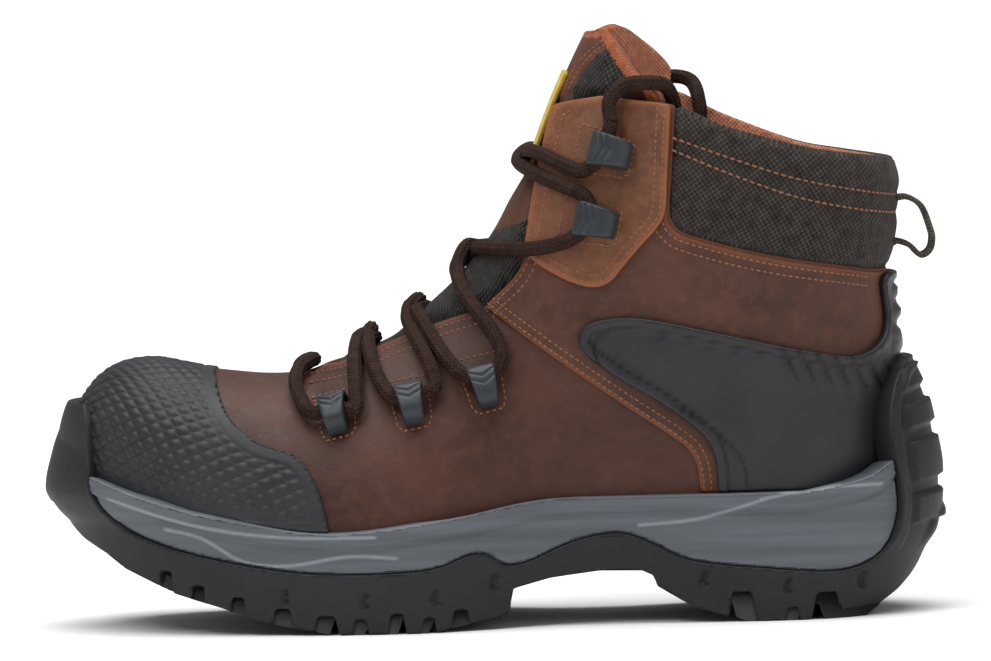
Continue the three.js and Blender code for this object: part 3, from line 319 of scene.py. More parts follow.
# %% [markdown]
# ## The last
# A boot is pulled over a last, the closed form of a foot. Every panel of the upper
# lies on that form at its own distance, so the form comes first. A few short tables
# give its plan, its top line and how square its cross-section is, as shares of the
# boot's own sizes, and one smooth curve runs through each column.

# %% Sizes of the last
SOLE_LENGTH = 312.0
SOLE_BALL_WIDTH = 118.0
RIM_HEIGHT = 44.0
UPPER_BACK = -141.0
UPPER_TIP = 147.0
UPPER_LENGTH = UPPER_TIP - UPPER_BACK
UPPER_BALL_WIDTH = 108.0
SHAFT_WIDTH = 84.0
COLLAR_RISE = 136.0
SHAFT_TOP = 1.24
WALL = 2.2
BELOW_RIM = 8.0
RIDGE_ROUNDING, TOE_ROUNDING, HEEL_ROUNDING = 0.125, 0.15, 0.14

SOLE_PLAN = [
    (0, 0, 0.373), (0.15, 0, 0.373), (0.404, 0.03, 0.326), (0.596, 0.017, 0.482),
    (0.676, -0.003, 0.494), (0.789, -0.034, 0.464), (0.885, -0.062, 0.42), (1, -0.09, 0.36),
]
SOLE_SIDE = [
    (-0.1, 0.074, 0.058, 0.955), (0.4, 0.0235, 0.04, 0.978), (0.82, 0.002, 0.028, 0.995),
    (0.97, 0.0002, 0.009, 1), (1.11, 0, 0, 1), (1.4, 0.0056, 0.0085, 0.978),
    (1.68, 0.0138, 0.0244, 0.93), (2.1, 0.04, 0.062, 0.82),
]
RIM_LINE = [
    (0, 1.01), (0.27, 1.005), (0.424, 1.005), (0.547, 0.891), (0.676, 0.795),
    (0.792, 0.911), (0.88, 1.07), (0.943, 1.239), (1, 1.385),
]
FOOT_PLAN = [
    (0, 0, 0.338), (0.1, 0, 0.338), (0.385, 0.032, 0.318), (0.597, 0.0185, 0.481),
    (0.68, -0.005, 0.498), (0.8, -0.037, 0.46), (0.9, -0.068, 0.402), (1, -0.095, 0.345),
]
RIDGE = [
    (0, 9, 2), (0.2, 3.4, 2), (0.28, 1.85, 2.05), (0.33, 1.29, 2.1), (0.363, 1.168, 2.2),
    (0.399, 1.013, 2.15), (0.435, 0.83, 1.95), (0.479, 0.665, 1.75), (0.528, 0.565, 1.68),
    (0.595, 0.476, 1.75), (0.66, 0.434, 1.9), (0.698, 0.395, 2), (0.74, 0.372, 2.1),
    (0.778, 0.361, 2.2), (0.865, 0.349, 2.4), (1, 0.335, 2.6),
]
BACK_LINE = [
    (0, 0.012), (0.08, 0.003), (0.19, 0), (0.3, 0.001), (0.41, 0.006), (0.5, 0.008),
    (0.59, 0.004), (0.69, -0.003), (0.78, -0.005), (1.24, 0),
]
COLUMN_SPACING = [
    (0, 0), (0.033, 0.004), (0.1, 0.03), (0.2, 0.15), (0.3, 0.29), (0.55, 0.5),
    (0.8, 0.85), (0.9, 0.955), (0.967, 0.9955), (1, 1),
]


def clamp(t):
    return np.clip(t, 0.0, 1.0)


def smooth(t):
    s = clamp(t)
    return s * s * (3 - 2 * s)


def mix(a, b, t):
    return a + (b - a) * t


def round_end(distance, radius, power=2.0):
    """A factor that rounds a form off towards its end."""
    s = 1 - clamp(distance / radius)
    return np.maximum(0, 1 - s ** power) ** (1 / power)


def curve(table, column):
    """A smooth curve through one column of a table, without overshoot."""
    at = np.array([row[0] for row in table], float)
    y = np.array([row[column] for row in table], float)
    secant = np.diff(y) / np.diff(at)
    before = np.concatenate([secant[:1], secant])
    after = np.concatenate([secant, secant[-1:]])
    product = before * after
    total = np.where(before + after == 0, 1, before + after)
    slope = np.where(product <= 0, 0, 2 * product / total)

    def value(t):
        t = np.clip(t, at[0], at[-1])
        i = np.clip(np.searchsorted(at, t, side="left") - 1, 0, len(at) - 2)
        width = at[i + 1] - at[i]
        s = (t - at[i]) / width
        s2, s3 = s * s, s * s * s
        return ((2 * s3 - 3 * s2 + 1) * y[i] + (s3 - 2 * s2 + s) * width * slope[i]
                + (3 * s2 - 2 * s3) * y[i + 1] + (s3 - s2) * width * slope[i + 1])
    return value


sole_centre, sole_half = curve(SOLE_PLAN, 1), curve(SOLE_PLAN, 2)
side_back, side_front, side_width = (curve(SOLE_SIDE, i) for i in (1, 2, 3))
rim_share = curve(RIM_LINE, 1)
foot_centre, foot_half = curve(FOOT_PLAN, 1), curve(FOOT_PLAN, 2)
ridge_share, ridge_power = curve(RIDGE, 1), curve(RIDGE, 2)
back_share, column_share = curve(BACK_LINE, 1), curve(COLUMN_SPACING, 1)


def rim_z(x):
    """The height of the line where the upper meets the sole."""
    return RIM_HEIGHT * rim_share(x / SOLE_LENGTH + 0.5)


def ridge_rise(x):
    """How far the ridge of the last stands above its rim."""
    share = (x - UPPER_BACK) / UPPER_LENGTH
    return COLLAR_RISE * ridge_share(share) * round_end(UPPER_TIP - x, RIDGE_ROUNDING * UPPER_LENGTH)


def back_x(rise):
    return UPPER_BACK + UPPER_LENGTH * back_share(rise / COLLAR_RISE)


def section(x, rise):
    """The middle, the half width, the squareness and the top of the last's cross-section."""
    share = (x - UPPER_BACK) / UPPER_LENGTH
    climb = smooth((rise / COLLAR_RISE - 0.15) / 0.75) * smooth((0.66 - share) / 0.25)
    foot = UPPER_BALL_WIDTH * foot_half(share) * round_end(UPPER_TIP - x, TOE_ROUNDING * UPPER_LENGTH, 2.1)
    heel = round_end(x - back_x(rise), HEEL_ROUNDING * UPPER_LENGTH)
    centre = UPPER_BALL_WIDTH * foot_centre(share) * (1 - climb)
    half = mix(foot, SHAFT_WIDTH / 2, climb) * heel
    return centre, half, ridge_power(share), np.maximum(0.001, ridge_rise(x))


def form_point(x, rise, side):
    """A point on the last, on its outer side (1) or its inner side (-1)."""
    x, rise = np.broadcast_arrays(np.asarray(x, float), np.asarray(rise, float))
    centre, half, power, top = section(x, rise)
    arch = np.minimum(1, np.maximum(0, rise) / top)
    dome = np.maximum(0, 1 - arch ** power) ** (1 / power)
    return np.stack([x, centre + side * half * dome, rim_z(x) + rise], -1)


def on_upper(places):
    return [(UPPER_BACK + u * UPPER_LENGTH, RIM_HEIGHT + w * COLLAR_RISE) for u, w in places]


def on_sole(places):
    return [((u - 0.5) * SOLE_LENGTH, w * RIM_HEIGHT) for u, w in places]


print("last:", UPPER_LENGTH, "mm long, tip rise", round(float(rim_z(UPPER_TIP)), 1))

# %% [markdown]
# ## Grids over a form
# A panel could be modelled by hand, vertex by vertex, but then it would never lie snugly
# on the last. Here a fine grid of points is laid over the whole form instead. Each point
# knows its direction out of the form and how far along and up the surface it lies, which
# later gives a UV map in real lengths.

# %% Grids
def grid_normals(points, outward):
    """The direction out of a form at each point of its grid."""
    down = np.gradient(points, axis=0)
    along = np.gradient(points, axis=1)
    normal = np.cross(along, down)
    size = np.linalg.norm(normal, axis=-1, keepdims=True)
    normal = normal / np.where(size < 1e-12, 1, size)
    flip = np.sign(np.sum(normal * outward, axis=-1, keepdims=True))
    return normal * np.where(flip == 0, 1, flip)


def arc_lengths(points, axis):
    """How far each point lies from the start of its row or column, along the surface."""
    step = np.linalg.norm(np.diff(points, axis=axis), axis=-1)
    total = np.cumsum(step, axis=axis)
    first = np.zeros_like(np.take(total, [0], axis=axis))
    return np.concatenate([first, total], axis=axis)


def share_normals(sides, rows, columns):
    """Where the two sides meet, both take the mean direction, which lies in the middle plane."""
    shared = sides[0][1][rows, columns] + sides[1][1][rows, columns]
    shared[..., 1] = 0
    shared /= np.linalg.norm(shared, axis=-1, keepdims=True) + 1e-12
    for entry in sides:
        entry[1][rows, columns] = shared


def last_grid(columns, rows):
    """Both sides of the last, from below the rim up to its ridge, as two joined grids."""
    t = np.arange(columns + 1) / columns
    shares = np.sin(np.pi / 2 * np.arange(rows + 1) / rows)
    shares = np.concatenate([[0.0], shares])
    drops = np.concatenate([[BELOW_RIM], np.zeros(rows + 1)])
    shaft_rise = SHAFT_TOP * COLLAR_RISE
    back_rise = min(float(ridge_rise(UPPER_BACK)), shaft_rise)
    sides = []
    for side in (1, -1):
        back_place = back_x(shares * back_rise)[:, None]
        x = mix(back_place, UPPER_TIP, column_share(t)[None, :])
        rise = shares[:, None] * np.minimum(ridge_rise(x), shaft_rise)
        points = form_point(x, rise, side)
        points[..., 2] -= drops[:, None]
        middle = section(x, rise)[0]
        outward = np.stack([x - np.clip(x, -95, 90), points[..., 1] - middle + side * 0.5, 0.2 * rise], -1)
        sides.append([points, grid_normals(points, outward), arc_lengths(points, 1), arc_lengths(points, 0)])
    closed = ridge_rise(sides[0][0][-1, :, 0]) < shaft_rise
    share_normals(sides, -1, closed)
    share_normals(sides, slice(None), 0)
    for entry in sides:
        entry[1][:, -1] = (1, 0, 0)
    return sides


print("grid helpers ready")

# %% [markdown]
# ## Cutting a panel out of a grid
# A shoemaker cuts each panel along a line drawn on the side of the last. Here the line
# is a signed distance, positive inside the panel. Grid points next to the line slide
# onto it, so the cut edge is clean, and the edge is rounded over with two extra rings.
# The panel gets a back face too, so it is a closed skin of its real thickness.

# %% Outlines as signed distances
def polygon_distance(outline, x, z):
    """Signed distance to a closed outline in the side view, positive inside."""
    shape = x.shape
    px, pz = x.ravel(), z.ravel()
    best = np.full(px.shape, 1e18)
    inside = np.zeros(px.shape, bool)
    points = np.array(outline, float)
    for (ax, az), (bx, bz) in zip(points, np.roll(points, -1, axis=0)):
        ex, ez = bx - ax, bz - az
        length2 = ex * ex + ez * ez
        if length2 < 1e-12:
            continue
        t = np.clip(((px - ax) * ex + (pz - az) * ez) / length2, 0, 1)
        best = np.minimum(best, (px - ax - t * ex) ** 2 + (pz - az - t * ez) ** 2)
        crosses = (az > pz) != (bz > pz)
        if ez != 0:
            inside ^= crosses & (px < ax + (pz - az) * ex / ez)
    distance = np.sqrt(best)
    return np.where(inside, distance, -distance).reshape(shape)


def spline(places, pieces=4):
    """A smooth line through a few places of the side view."""
    p = np.array(places, float)
    ends = np.vstack([2 * p[0] - p[1], p, 2 * p[-1] - p[-2]])
    line = []
    for i in range(1, len(ends) - 2):
        a, b, c, d = ends[i - 1:i + 3]
        for k in range(pieces):
            t = k / pieces
            line.append(0.5 * (2 * b + (c - a) * t + (2 * a - 5 * b + 4 * c - d) * t * t
                               + (3 * b - a - 3 * c + d) * t ** 3))
    line.append(p[-1])
    return [tuple(q) for q in line]


def line_distance(line, x, z):
    """Distance to an open line in the side view."""
    best = np.full(x.shape, 1e18)
    points = np.array(line, float)
    for (ax, az), (bx, bz) in zip(points[:-1], points[1:]):
        ex, ez = bx - ax, bz - az
        t = np.clip(((x - ax) * ex + (z - az) * ez) / (ex * ex + ez * ez + 1e-12), 0, 1)
        best = np.minimum(best, (x - ax - t * ex) ** 2 + (z - az - t * ez) ** 2)
    return np.sqrt(best)


print("outline helpers ready")

# %% Cutting a grid
def snapped_grid(grid, normal, along, up, region):
    """Slides the points next to the cut line onto it. Gives all values, distances and what stays."""
    d = region(grid[..., 0], grid[..., 1], grid[..., 2])
    packed = np.concatenate([grid, normal, along[..., None], up[..., None]], -1)
    move = np.full(d.shape, np.inf)
    target = np.zeros(packed.shape)
    for axis in (0, 1):
        for direction in (1, -1):
            other = np.roll(packed, -direction, axis=axis)
            other_d = np.roll(d, -direction, axis=axis)
            valid = np.ones(d.shape, bool)
            last_row = [slice(None), slice(None)]
            last_row[axis] = -1 if direction == 1 else 0
            valid[tuple(last_row)] = False
            crossing = valid & ((d > 0) != (other_d > 0))
            share = np.where(crossing, np.abs(d) / (np.abs(d) + np.abs(other_d) + 1e-12), np.inf)
            nearer = crossing & (share <= 0.5) & (share < move)
            move = np.where(nearer, share, move)
            moved = packed + (other - packed) * np.where(nearer, share, 0)[..., None]
            target = np.where(nearer[..., None], moved, target)
    snapped = np.isfinite(move)
    packed = np.where(snapped[..., None], target, packed)
    return packed, np.where(snapped, 0, d), (d > 0) | snapped


def grid_cells(d, keep):
    """The cells inside the cut line, and the triangles where it runs through a cell."""
    rows, columns = d.shape
    index = np.arange(rows * columns).reshape(rows, columns)
    corners = (index[:-1, :-1], index[:-1, 1:], index[1:, 1:], index[1:, :-1])
    kept = [keep.ravel()[corner] for corner in corners]
    inside = [(d.ravel()[corner] > 0).astype(int) for corner in corners]
    count = sum(values.astype(int) for values in kept)
    whole = (count == 4) & (sum(inside) > 0)
    cells = np.stack([corner[whole] for corner in corners], -1).tolist()
    for missing in range(4):
        others = [(missing + step) % 4 for step in (1, 2, 3)]
        chosen = (count == 3) & ~kept[missing] & (sum(inside[i] for i in others) > 0)
        cells.extend(np.stack([corners[i][chosen] for i in others], -1).tolist())
    return cells


def welded(points, normals, uv, distance, cells):
    """One point where several fall together, with their mean direction, and outward faces."""
    used = np.unique(np.concatenate([np.array(cell) for cell in cells]))
    first, inverse = np.unique(np.round(points[used], 3), axis=0, return_index=True, return_inverse=True)[1:]
    inverse = inverse.ravel()
    renumbered = np.full(len(points), -1)
    renumbered[used] = inverse
    summed = np.zeros((len(first), 3))
    np.add.at(summed, inverse, normals[used])
    normals = summed / (np.linalg.norm(summed, axis=1, keepdims=True) + 1e-12)
    points, uv, distance = (values[used][first] for values in (points, uv, distance))
    faces = []
    for cell in cells:
        loop = []
        for v in (int(renumbered[i]) for i in cell):
            if not loop or v != loop[-1]:
                loop.append(v)
        if len(loop) > 1 and loop[0] == loop[-1]:
            loop.pop()
        if len(loop) < 3 or len(set(loop)) != len(loop):
            continue
        corner = points[loop]
        facing = np.cross(corner[1] - corner[0], corner[2] - corner[0])
        if np.dot(facing, normals[loop].sum(axis=0)) < 0:
            loop.reverse()
        faces.append(loop)
    return points, normals, uv, distance, faces


def open_edges(faces):
    """The edges along the cut, which only one face uses."""
    edges = dict.fromkeys((u, v) for face in faces for u, v in zip(face, face[1:] + face[:1]))
    return [(u, v) for u, v in edges if (v, u) not in edges]


def inward_directions(region, points, normals):
    """The direction along the surface that leads away from the cut."""
    x, y, z = points.T
    slope_x = (region(x + SLOPE_STEP, y, z) - region(x - SLOPE_STEP, y, z)) / (2 * SLOPE_STEP)
    slope_z = (region(x, y, z + SLOPE_STEP) - region(x, y, z - SLOPE_STEP)) / (2 * SLOPE_STEP)
    inward = np.stack([slope_x, np.zeros_like(slope_x), slope_z], -1)
    inward -= normals * np.sum(inward * normals, -1, keepdims=True)
    return inward / (np.linalg.norm(inward, axis=-1, keepdims=True) + 1e-9)


SLOPE_STEP = 0.4
# A ring halfway round a rounded edge lies this share of the radius in from its two ends.
HALFWAY_ROUND = 0.29
print("grid cutter ready")

# %% Panels
def levels(value, points, distance, uv):
    """A panel's level over the form at each point, from a number or a function of place."""
    if callable(value):
        x, y, z = points.T
        value = value(x, y, z, distance, uv)
    return np.full(len(points), float(value)) if np.isscalar(value) else value


def panel(name, grids, region, inner, outer, materials, edge=0.5, back_material=0, seams=None):
    """A closed skin cut from one or two grids, from the inner to the outer level over the form."""
    packed, distances, cells = [], [], []
    for grid in grids:
        values, d, keep = snapped_grid(*grid, region)
        start = sum(len(part) for part in distances)
        cells.extend([v + start for v in cell] for cell in grid_cells(d, keep))
        packed.append(values.reshape(-1, values.shape[-1]))
        distances.append(d.ravel())
    packed = np.concatenate(packed)
    points, normals, uv, distance, faces = welded(packed[:, 0:3], packed[:, 3:6], packed[:, 6:8],
                                                  np.concatenate(distances), cells)
    border = open_edges(faces)
    inward = inward_directions(region, points, normals)
    low, high = levels(inner, points, distance, uv), levels(outer, points, distance, uv)
    rim = np.array(sorted({v for step in border for v in step}))
    shift = np.zeros(len(points))
    shift[rim] = edge
    surface = points + inward * shift[:, None] + normals * high[:, None]
    shoulder = (points[rim] + inward[rim] * edge * HALFWAY_ROUND
                + normals[rim] * (high[rim] - HALFWAY_ROUND * edge)[:, None])
    side = points[rim] + normals[rim] * (high[rim] - edge)[:, None]
    back_side = points + normals * low[:, None]
    count, rim_count = len(points), len(rim)
    position = np.zeros(count, int)
    position[rim] = np.arange(rim_count)
    rings = [np.arange(count), count + position, count + rim_count + position,
             count + 2 * rim_count + np.arange(count)]
    all_faces = list(faces)
    for u, v in border:
        for upper_ring, lower_ring in zip(rings[:-1], rings[1:]):
            all_faces.append([upper_ring[v], upper_ring[u], lower_ring[u], lower_ring[v]])
    all_faces.extend(rings[-1][face[::-1]] for face in faces)
    material_index = [0] * (len(all_faces) - len(faces)) + [back_material] * len(faces)

    def on_rings(values):
        return np.concatenate([values, values[rim], values[rim], values])

    attributes = {"border": on_rings(distance)}
    for key, function in (seams or {}).items():
        attributes[key] = on_rings(function(*points.T))
    piece = make_object(name, np.concatenate([surface, shoulder, side, back_side]), all_faces, materials,
                        material_index, attributes, on_rings(uv))
    print(f"{name}: {len(all_faces)} faces, {len(border)} edge steps")
    return piece


print("panel cutter ready")

# %% [markdown]
# ## Leather
# The upper is oiled, pulled-up nubuck leather: brown, darker in the hollows, lighter and
# more orange where it is stretched or cut. Its nap is so short that only a fine mottle
# and a dry, broad gloss show. The cut edge takes its colour from the distance to the
# panel's border, which each panel carries as an attribute.

# %% Leather
def leather(name, dark, base, light, edge, roughness, edge_width):
    """Dull brown hide: broad clouds of dark, a fine lighter mottle and a rubbed orange border."""
    material, tree, shader = new_material(name, roughness, Specular_IOR_Level=0.28)
    place = add(tree, "ShaderNodeTexCoord").outputs["Object"]
    broad = add(tree, "ShaderNodeTexNoise", {"Vector": place, "Scale": 26.0, "Detail": 4.0,
                                             "Roughness": 0.55})
    mottle = add(tree, "ShaderNodeTexNoise", {"Vector": place, "Scale": 240.0, "Detail": 5.0,
                                              "Roughness": 0.65})
    spread = add(tree, "ShaderNodeMapRange", {"Value": broad.outputs["Fac"], "From Min": 0.33,
                                              "From Max": 0.68})
    tone = add(tree, "ShaderNodeMix", {"Factor": spread.outputs["Result"], 6: colour(dark), 7: colour(base)},
               data_type="RGBA").outputs[2]
    fine = add(tree, "ShaderNodeMapRange", {"Value": mottle.outputs["Fac"], "From Min": 0.45, "From Max": 0.8,
                                            "To Max": 0.55})
    tone = add(tree, "ShaderNodeMix", {"Factor": fine.outputs["Result"], 6: tone, 7: colour(light)},
               data_type="RGBA").outputs[2]
    border = add(tree, "ShaderNodeAttribute", attribute_name="border").outputs["Fac"]
    ragged = add(tree, "ShaderNodeMath", {0: mottle.outputs["Fac"], 1: edge_width}, operation="MULTIPLY")
    rubbed = add(tree, "ShaderNodeMapRange", {"Value": border, "From Min": 0.3, "To Min": 0.6, "To Max": 0.0})
    tree.links.new(ragged.outputs[0], rubbed.inputs["From Max"])
    tone = add(tree, "ShaderNodeMix", {"Factor": rubbed.outputs["Result"], 6: tone, 7: colour(edge)},
               data_type="RGBA").outputs[2]
    tree.links.new(tone, shader.inputs["Base Color"])
    grain = add(tree, "ShaderNodeTexVoronoi", {"Vector": place, "Scale": 750.0}, feature="SMOOTH_F1")
    nap = add(tree, "ShaderNodeMath", {0: grain.outputs["Distance"], 1: mottle.outputs["Fac"]},
              operation="ADD")
    bump = add(tree, "ShaderNodeBump", {"Height": nap.outputs[0], "Strength": 0.28, "Distance": 0.0004})
    tree.links.new(bump.outputs["Normal"], shader.inputs["Normal"])
    rough = add(tree, "ShaderNodeMapRange", {"Value": mottle.outputs["Fac"], "From Min": 0.3, "From Max": 0.7,
                                             "To Min": roughness - 0.08, "To Max": roughness + 0.1})
    tree.links.new(rough.outputs["Result"], shader.inputs["Roughness"])
    return material


# The vamp is the darkest hide, the facing the palest and most orange.
vamp_leather = leather("vamp_leather", "#361f19", "#4c2d23", "#5e3b2e", "#6e3f28", 0.56, 3.0)
tongue_leather = leather("tongue_leather", "#3c2318", "#583424", "#6d452f", "#7d4a2d", 0.56, 3.0)
quarter_leather = leather("quarter_leather", "#36211b", "#543326", "#684233", "#754227", 0.56, 4.0)
facing_leather = leather("facing_leather", "#553524", "#754a33", "#8c5c40", "#92552e", 0.52, 5.0)
print("leather materials ready")

# %% [markdown]
# ## Rubber, foam and moulded plastic
# The toe cap, the outsole and the heel counter are moulded. Rubber is matt with a faint
# bloom, the counter is a slightly glossier plastic, and the midsole is a cast foam whose
# skin has streaks along it and a few lighter hair lines.

# %% Moulded materials
def moulded(name, base, light, roughness, speckle, depth, painted_shade=None):
    """A near-black skin with a faint bloom and a fine grain, and painted shade in its grooves where a shade
    colour is given.
    """
    material, tree, shader = new_material(name, roughness, Specular_IOR_Level=0.3)
    place = add(tree, "ShaderNodeTexCoord").outputs["Object"]
    cloud = add(tree, "ShaderNodeTexNoise", {"Vector": place, "Scale": 60.0, "Detail": 5.0, "Roughness": 0.6})
    spread = add(tree, "ShaderNodeMapRange", {"Value": cloud.outputs["Fac"], "From Min": 0.35,
                                              "From Max": 0.75})
    tone = add(tree, "ShaderNodeMix", {"Factor": spread.outputs["Result"], 6: colour(base), 7: colour(light)},
               data_type="RGBA").outputs[2]
    # Painted shade: near the lines that the mesh's attribute marks, the colour goes near black.
    if painted_shade:
        shade_distance = add(tree, "ShaderNodeAttribute", attribute_name="painted_shade").outputs["Fac"]
        shadow = add(tree, "ShaderNodeMapRange", {"Value": shade_distance, "From Min": 0.3, "From Max": 1.0,
                                                  "To Min": 0.85,
                                                  "To Max": 0.0})
        tone = add(tree, "ShaderNodeMix", {"Factor": shadow.outputs["Result"], 6: tone, 7: colour(painted_shade)},
                   data_type="RGBA").outputs[2]
    tree.links.new(tone, shader.inputs["Base Color"])
    texture = add(tree, "ShaderNodeTexNoise", {"Vector": place, "Scale": speckle, "Detail": 3.0})
    bump = add(tree, "ShaderNodeBump", {"Height": texture.outputs["Fac"], "Strength": 0.25,
                                        "Distance": depth})
    tree.links.new(bump.outputs["Normal"], shader.inputs["Normal"])
    rough = add(tree, "ShaderNodeMapRange", {"Value": cloud.outputs["Fac"], "From Min": 0.3, "From Max": 0.7,
                                             "To Min": roughness - 0.06, "To Max": roughness + 0.08})
    tree.links.new(rough.outputs["Result"], shader.inputs["Roughness"])
    return material


# Cap and outsole are dull rubber; counter and fittings catch a sharper light.
cap_rubber = moulded("cap_rubber", "#222326", "#2f3033", 0.5, 900.0, 0.0003)
outsole_rubber = moulded("outsole_rubber", "#1c1c1e", "#262629", 0.58, 700.0, 0.0004)
# The counter's last colour is painted shade along its grooves and beside its ribs.
counter_plastic = moulded("counter_plastic", "#232225", "#2d2c2f", 0.42, 1400.0, 0.0002, "#0a0a0b")
fitting_plastic = moulded("fitting_plastic", "#262b2e", "#33393d", 0.4, 1400.0, 0.0002)


def foam(name):
    """Blue-grey foam with level streaks and pale veins."""
    material, tree, shader = new_material(name, 0.55)
    place = add(tree, "ShaderNodeTexCoord").outputs["Object"]
    stretched = add(tree, "ShaderNodeMapping", {"Vector": place, "Scale": (9.0, 9.0, 160.0)})
    streak = add(tree, "ShaderNodeTexNoise", {"Vector": stretched.outputs["Vector"], "Scale": 1.0,
                                              "Detail": 6.0,
                                              "Roughness": 0.6})
    spread = add(tree, "ShaderNodeMapRange", {"Value": streak.outputs["Fac"], "From Min": 0.35,
                                              "From Max": 0.7})
    tone = add(tree, "ShaderNodeMix", {"Factor": spread.outputs["Result"], 6: colour("#464b51"),
                                       7: colour("#5b6168")},
               data_type="RGBA").outputs[2]
    border = add(tree, "ShaderNodeAttribute", attribute_name="vein").outputs["Fac"]
    vein = add(tree, "ShaderNodeMapRange", {"Value": border, "From Min": 0.1, "From Max": 0.9, "To Min": 0.55,
                                            "To Max": 0.0})
    tone = add(tree, "ShaderNodeMix", {"Factor": vein.outputs["Result"], 6: tone, 7: colour("#9aa1a6")},
               data_type="RGBA").outputs[2]
    tree.links.new(tone, shader.inputs["Base Color"])
    bump = add(tree, "ShaderNodeBump", {"Height": streak.outputs["Fac"], "Strength": 0.2, "Distance": 0.0005})
    tree.links.new(bump.outputs["Normal"], shader.inputs["Normal"])
    return material


midsole_foam = foam("midsole_foam")
insole_felt = moulded("insole_felt", "#2b2b2c", "#454546", 0.9, 1800.0, 0.0004)
print("moulded materials ready")

# %% [markdown]
# ## The panels of the upper
# The lines below are the cut lines on the side of the last, in shares of its length and
# of the collar's rise. A panel is what lies on one side of its line.

# %% Cut lines
THROAT_LINE = [
    (0.706, 0.333), (0.66, 0.354), (0.62, 0.388), (0.558, 0.438), (0.519, 0.465), (0.493, 0.482),
    (0.447, 0.585), (0.426, 0.762), (0.403, 0.954), (0.391, 0.988), (0.346, 1.007),
]
COLLAR_LINE = [
    (0.346, 1.007), (0.263, 0.985), (0.203, 0.929), (0.108, 0.872), (0.048, 0.85), (0.006, 0.838),
    (-0.02, 0.832),
]
CUFF_LINE = [
    (0.261, 0.99), (0.268, 0.804), (0.271, 0.715), (0.265, 0.676), (0.243, 0.65),
    (0.159, 0.6), (0.063, 0.563), (0.02, 0.548), (-0.02, 0.55),
]
COUNTER_LINE = [
    (0.22, 0.004), (0.222, 0.087), (0.237, 0.151), (0.284, 0.231), (0.344, 0.311), (0.379, 0.376),
    (0.378, 0.415), (0.36, 0.444), (0.306, 0.449), (0.21, 0.405), (0.114, 0.357), (0.06, 0.336),
    (0.03, 0.36), (0.018, 0.42), (0.02, 0.535), (-0.02, 0.537),
]
TOE_CAP_LINE = [
    (0.819, 0.4), (0.819, 0.345), (0.812, 0.273), (0.797, 0.208), (0.767, 0.155), (0.72, 0.12),
    (0.697, 0.049),
    (0.682, -0.066),
]
QUARTER_LINE = [
    (0.5, 0.6), (0.493, 0.482), (0.403, 0.34), (0.333, 0.234), (0.273, 0.146), (0.25, 0.101), (0.242, 0.038),
    (0.244, -0.05),
]
FACING_LINE = [
    (0.264, 0.97), (0.27, 0.804), (0.274, 0.715), (0.285, 0.673), (0.303, 0.632), (0.328, 0.573),
    (0.343, 0.54),
    (0.365, 0.529), (0.395, 0.549), (0.425, 0.588), (0.441, 0.622),
]
TONGUE_LATERAL = [
    (0.352, 1.175), (0.341, 1.179), (0.324, 1.114), (0.308, 1.062), (0.289, 1.03), (0.283, 0.95), (0.3, 0.7),
    (0.38, 0.42), (0.52, 0.3), (0.69, 0.24),
]
TONGUE_MEDIAL = [
    (0.352, 1.175), (0.334, 1.189), (0.325, 1.185), (0.307, 1.156), (0.274, 1.101), (0.262, 1.05),
    (0.284, 0.95), (0.3, 0.7), (0.38, 0.42), (0.52, 0.3), (0.69, 0.24),
]
FAR = 400.0
throat = spline(on_upper(THROAT_LINE[:6])) + spline(on_upper(THROAT_LINE[5:]))[1:]
collar = spline(on_upper(COLLAR_LINE))[1:]
opening_outline = throat + collar + [(-FAR, collar[-1][1]), (-FAR, FAR), (throat[0][0], FAR)]
cuff_line = spline(on_upper(CUFF_LINE))
cuff_outline = [(cuff_line[0][0], FAR)] + cuff_line + [(-FAR, cuff_line[-1][1]), (-FAR, FAR)]
quarter_line = spline(on_upper(QUARTER_LINE[:2]))[:-1] + spline(on_upper(QUARTER_LINE[1:]))
quarter_outline = quarter_line + [(-FAR, -FAR), (-FAR, FAR), (quarter_line[0][0], FAR)]
facing_line = spline(on_upper(FACING_LINE))
facing_outline = facing_line + [(facing_line[-1][0] + 30, facing_line[-1][1]), (FAR, FAR),
                                (facing_line[0][0], FAR)]
toe_cap_line = spline(on_upper(TOE_CAP_LINE))
toe_cap_outline = toe_cap_line + [(FAR, toe_cap_line[-1][1]), (FAR, FAR), (toe_cap_line[0][0], FAR)]
counter_line = spline(on_upper(COUNTER_LINE))
counter_outline = counter_line + [(-FAR, counter_line[-1][1]), (-FAR, -FAR), (counter_line[0][0], -FAR)]


def in_opening(x, y, z):
    inner_rise = np.where(y < 0, 4.2 * smooth((x + 118) / 50) * smooth((-48 - x) / 14), 0.0)
    return polygon_distance(opening_outline, x, z - inner_rise)


def in_cuff(x, y, z):
    return polygon_distance(cuff_outline, x, z)


def over_rim(x, z):
    return z - rim_z(x)


def smooth_min(a, b, radius):
    h = np.clip(0.5 + 0.5 * (b - a) / radius, 0, 1)
    return b + (a - b) * h - radius * h * (1 - h)


print("cut lines:", len(opening_outline), "points round the opening")

# %% Places on the last
def form_normal(point):
    """The direction out of the last at a point on it."""
    def level(x, y, z):
        rise = z - float(rim_z(x))
        centre, half, power, top = (float(v) for v in section(x, rise))
        return (abs(y - centre) / max(0.01, half)) ** power + (max(0, rise) / top) ** power
    x, y, z = point
    step = 0.2
    normal = np.array([level(x + step, y, z) - level(x - step, y, z),
                       level(x, y + step, z) - level(x, y - step, z),
                       level(x, y, z + step) - level(x, y, z - step)])
    return normal / np.linalg.norm(normal)


def on_form(place, side, distance):
    x, z = place
    point = form_point(x, z - float(rim_z(x)), side)
    return point + form_normal(point) * distance


def shift_line(line, distance):
    """The line moved sideways, to the left of the way it runs."""
    p = np.array(line, float)
    tangent = np.gradient(p, axis=0)
    tangent /= np.linalg.norm(tangent, axis=1, keepdims=True) + 1e-12
    return p + np.stack([-tangent[:, 1], tangent[:, 0]], -1) * distance


print("places ready")
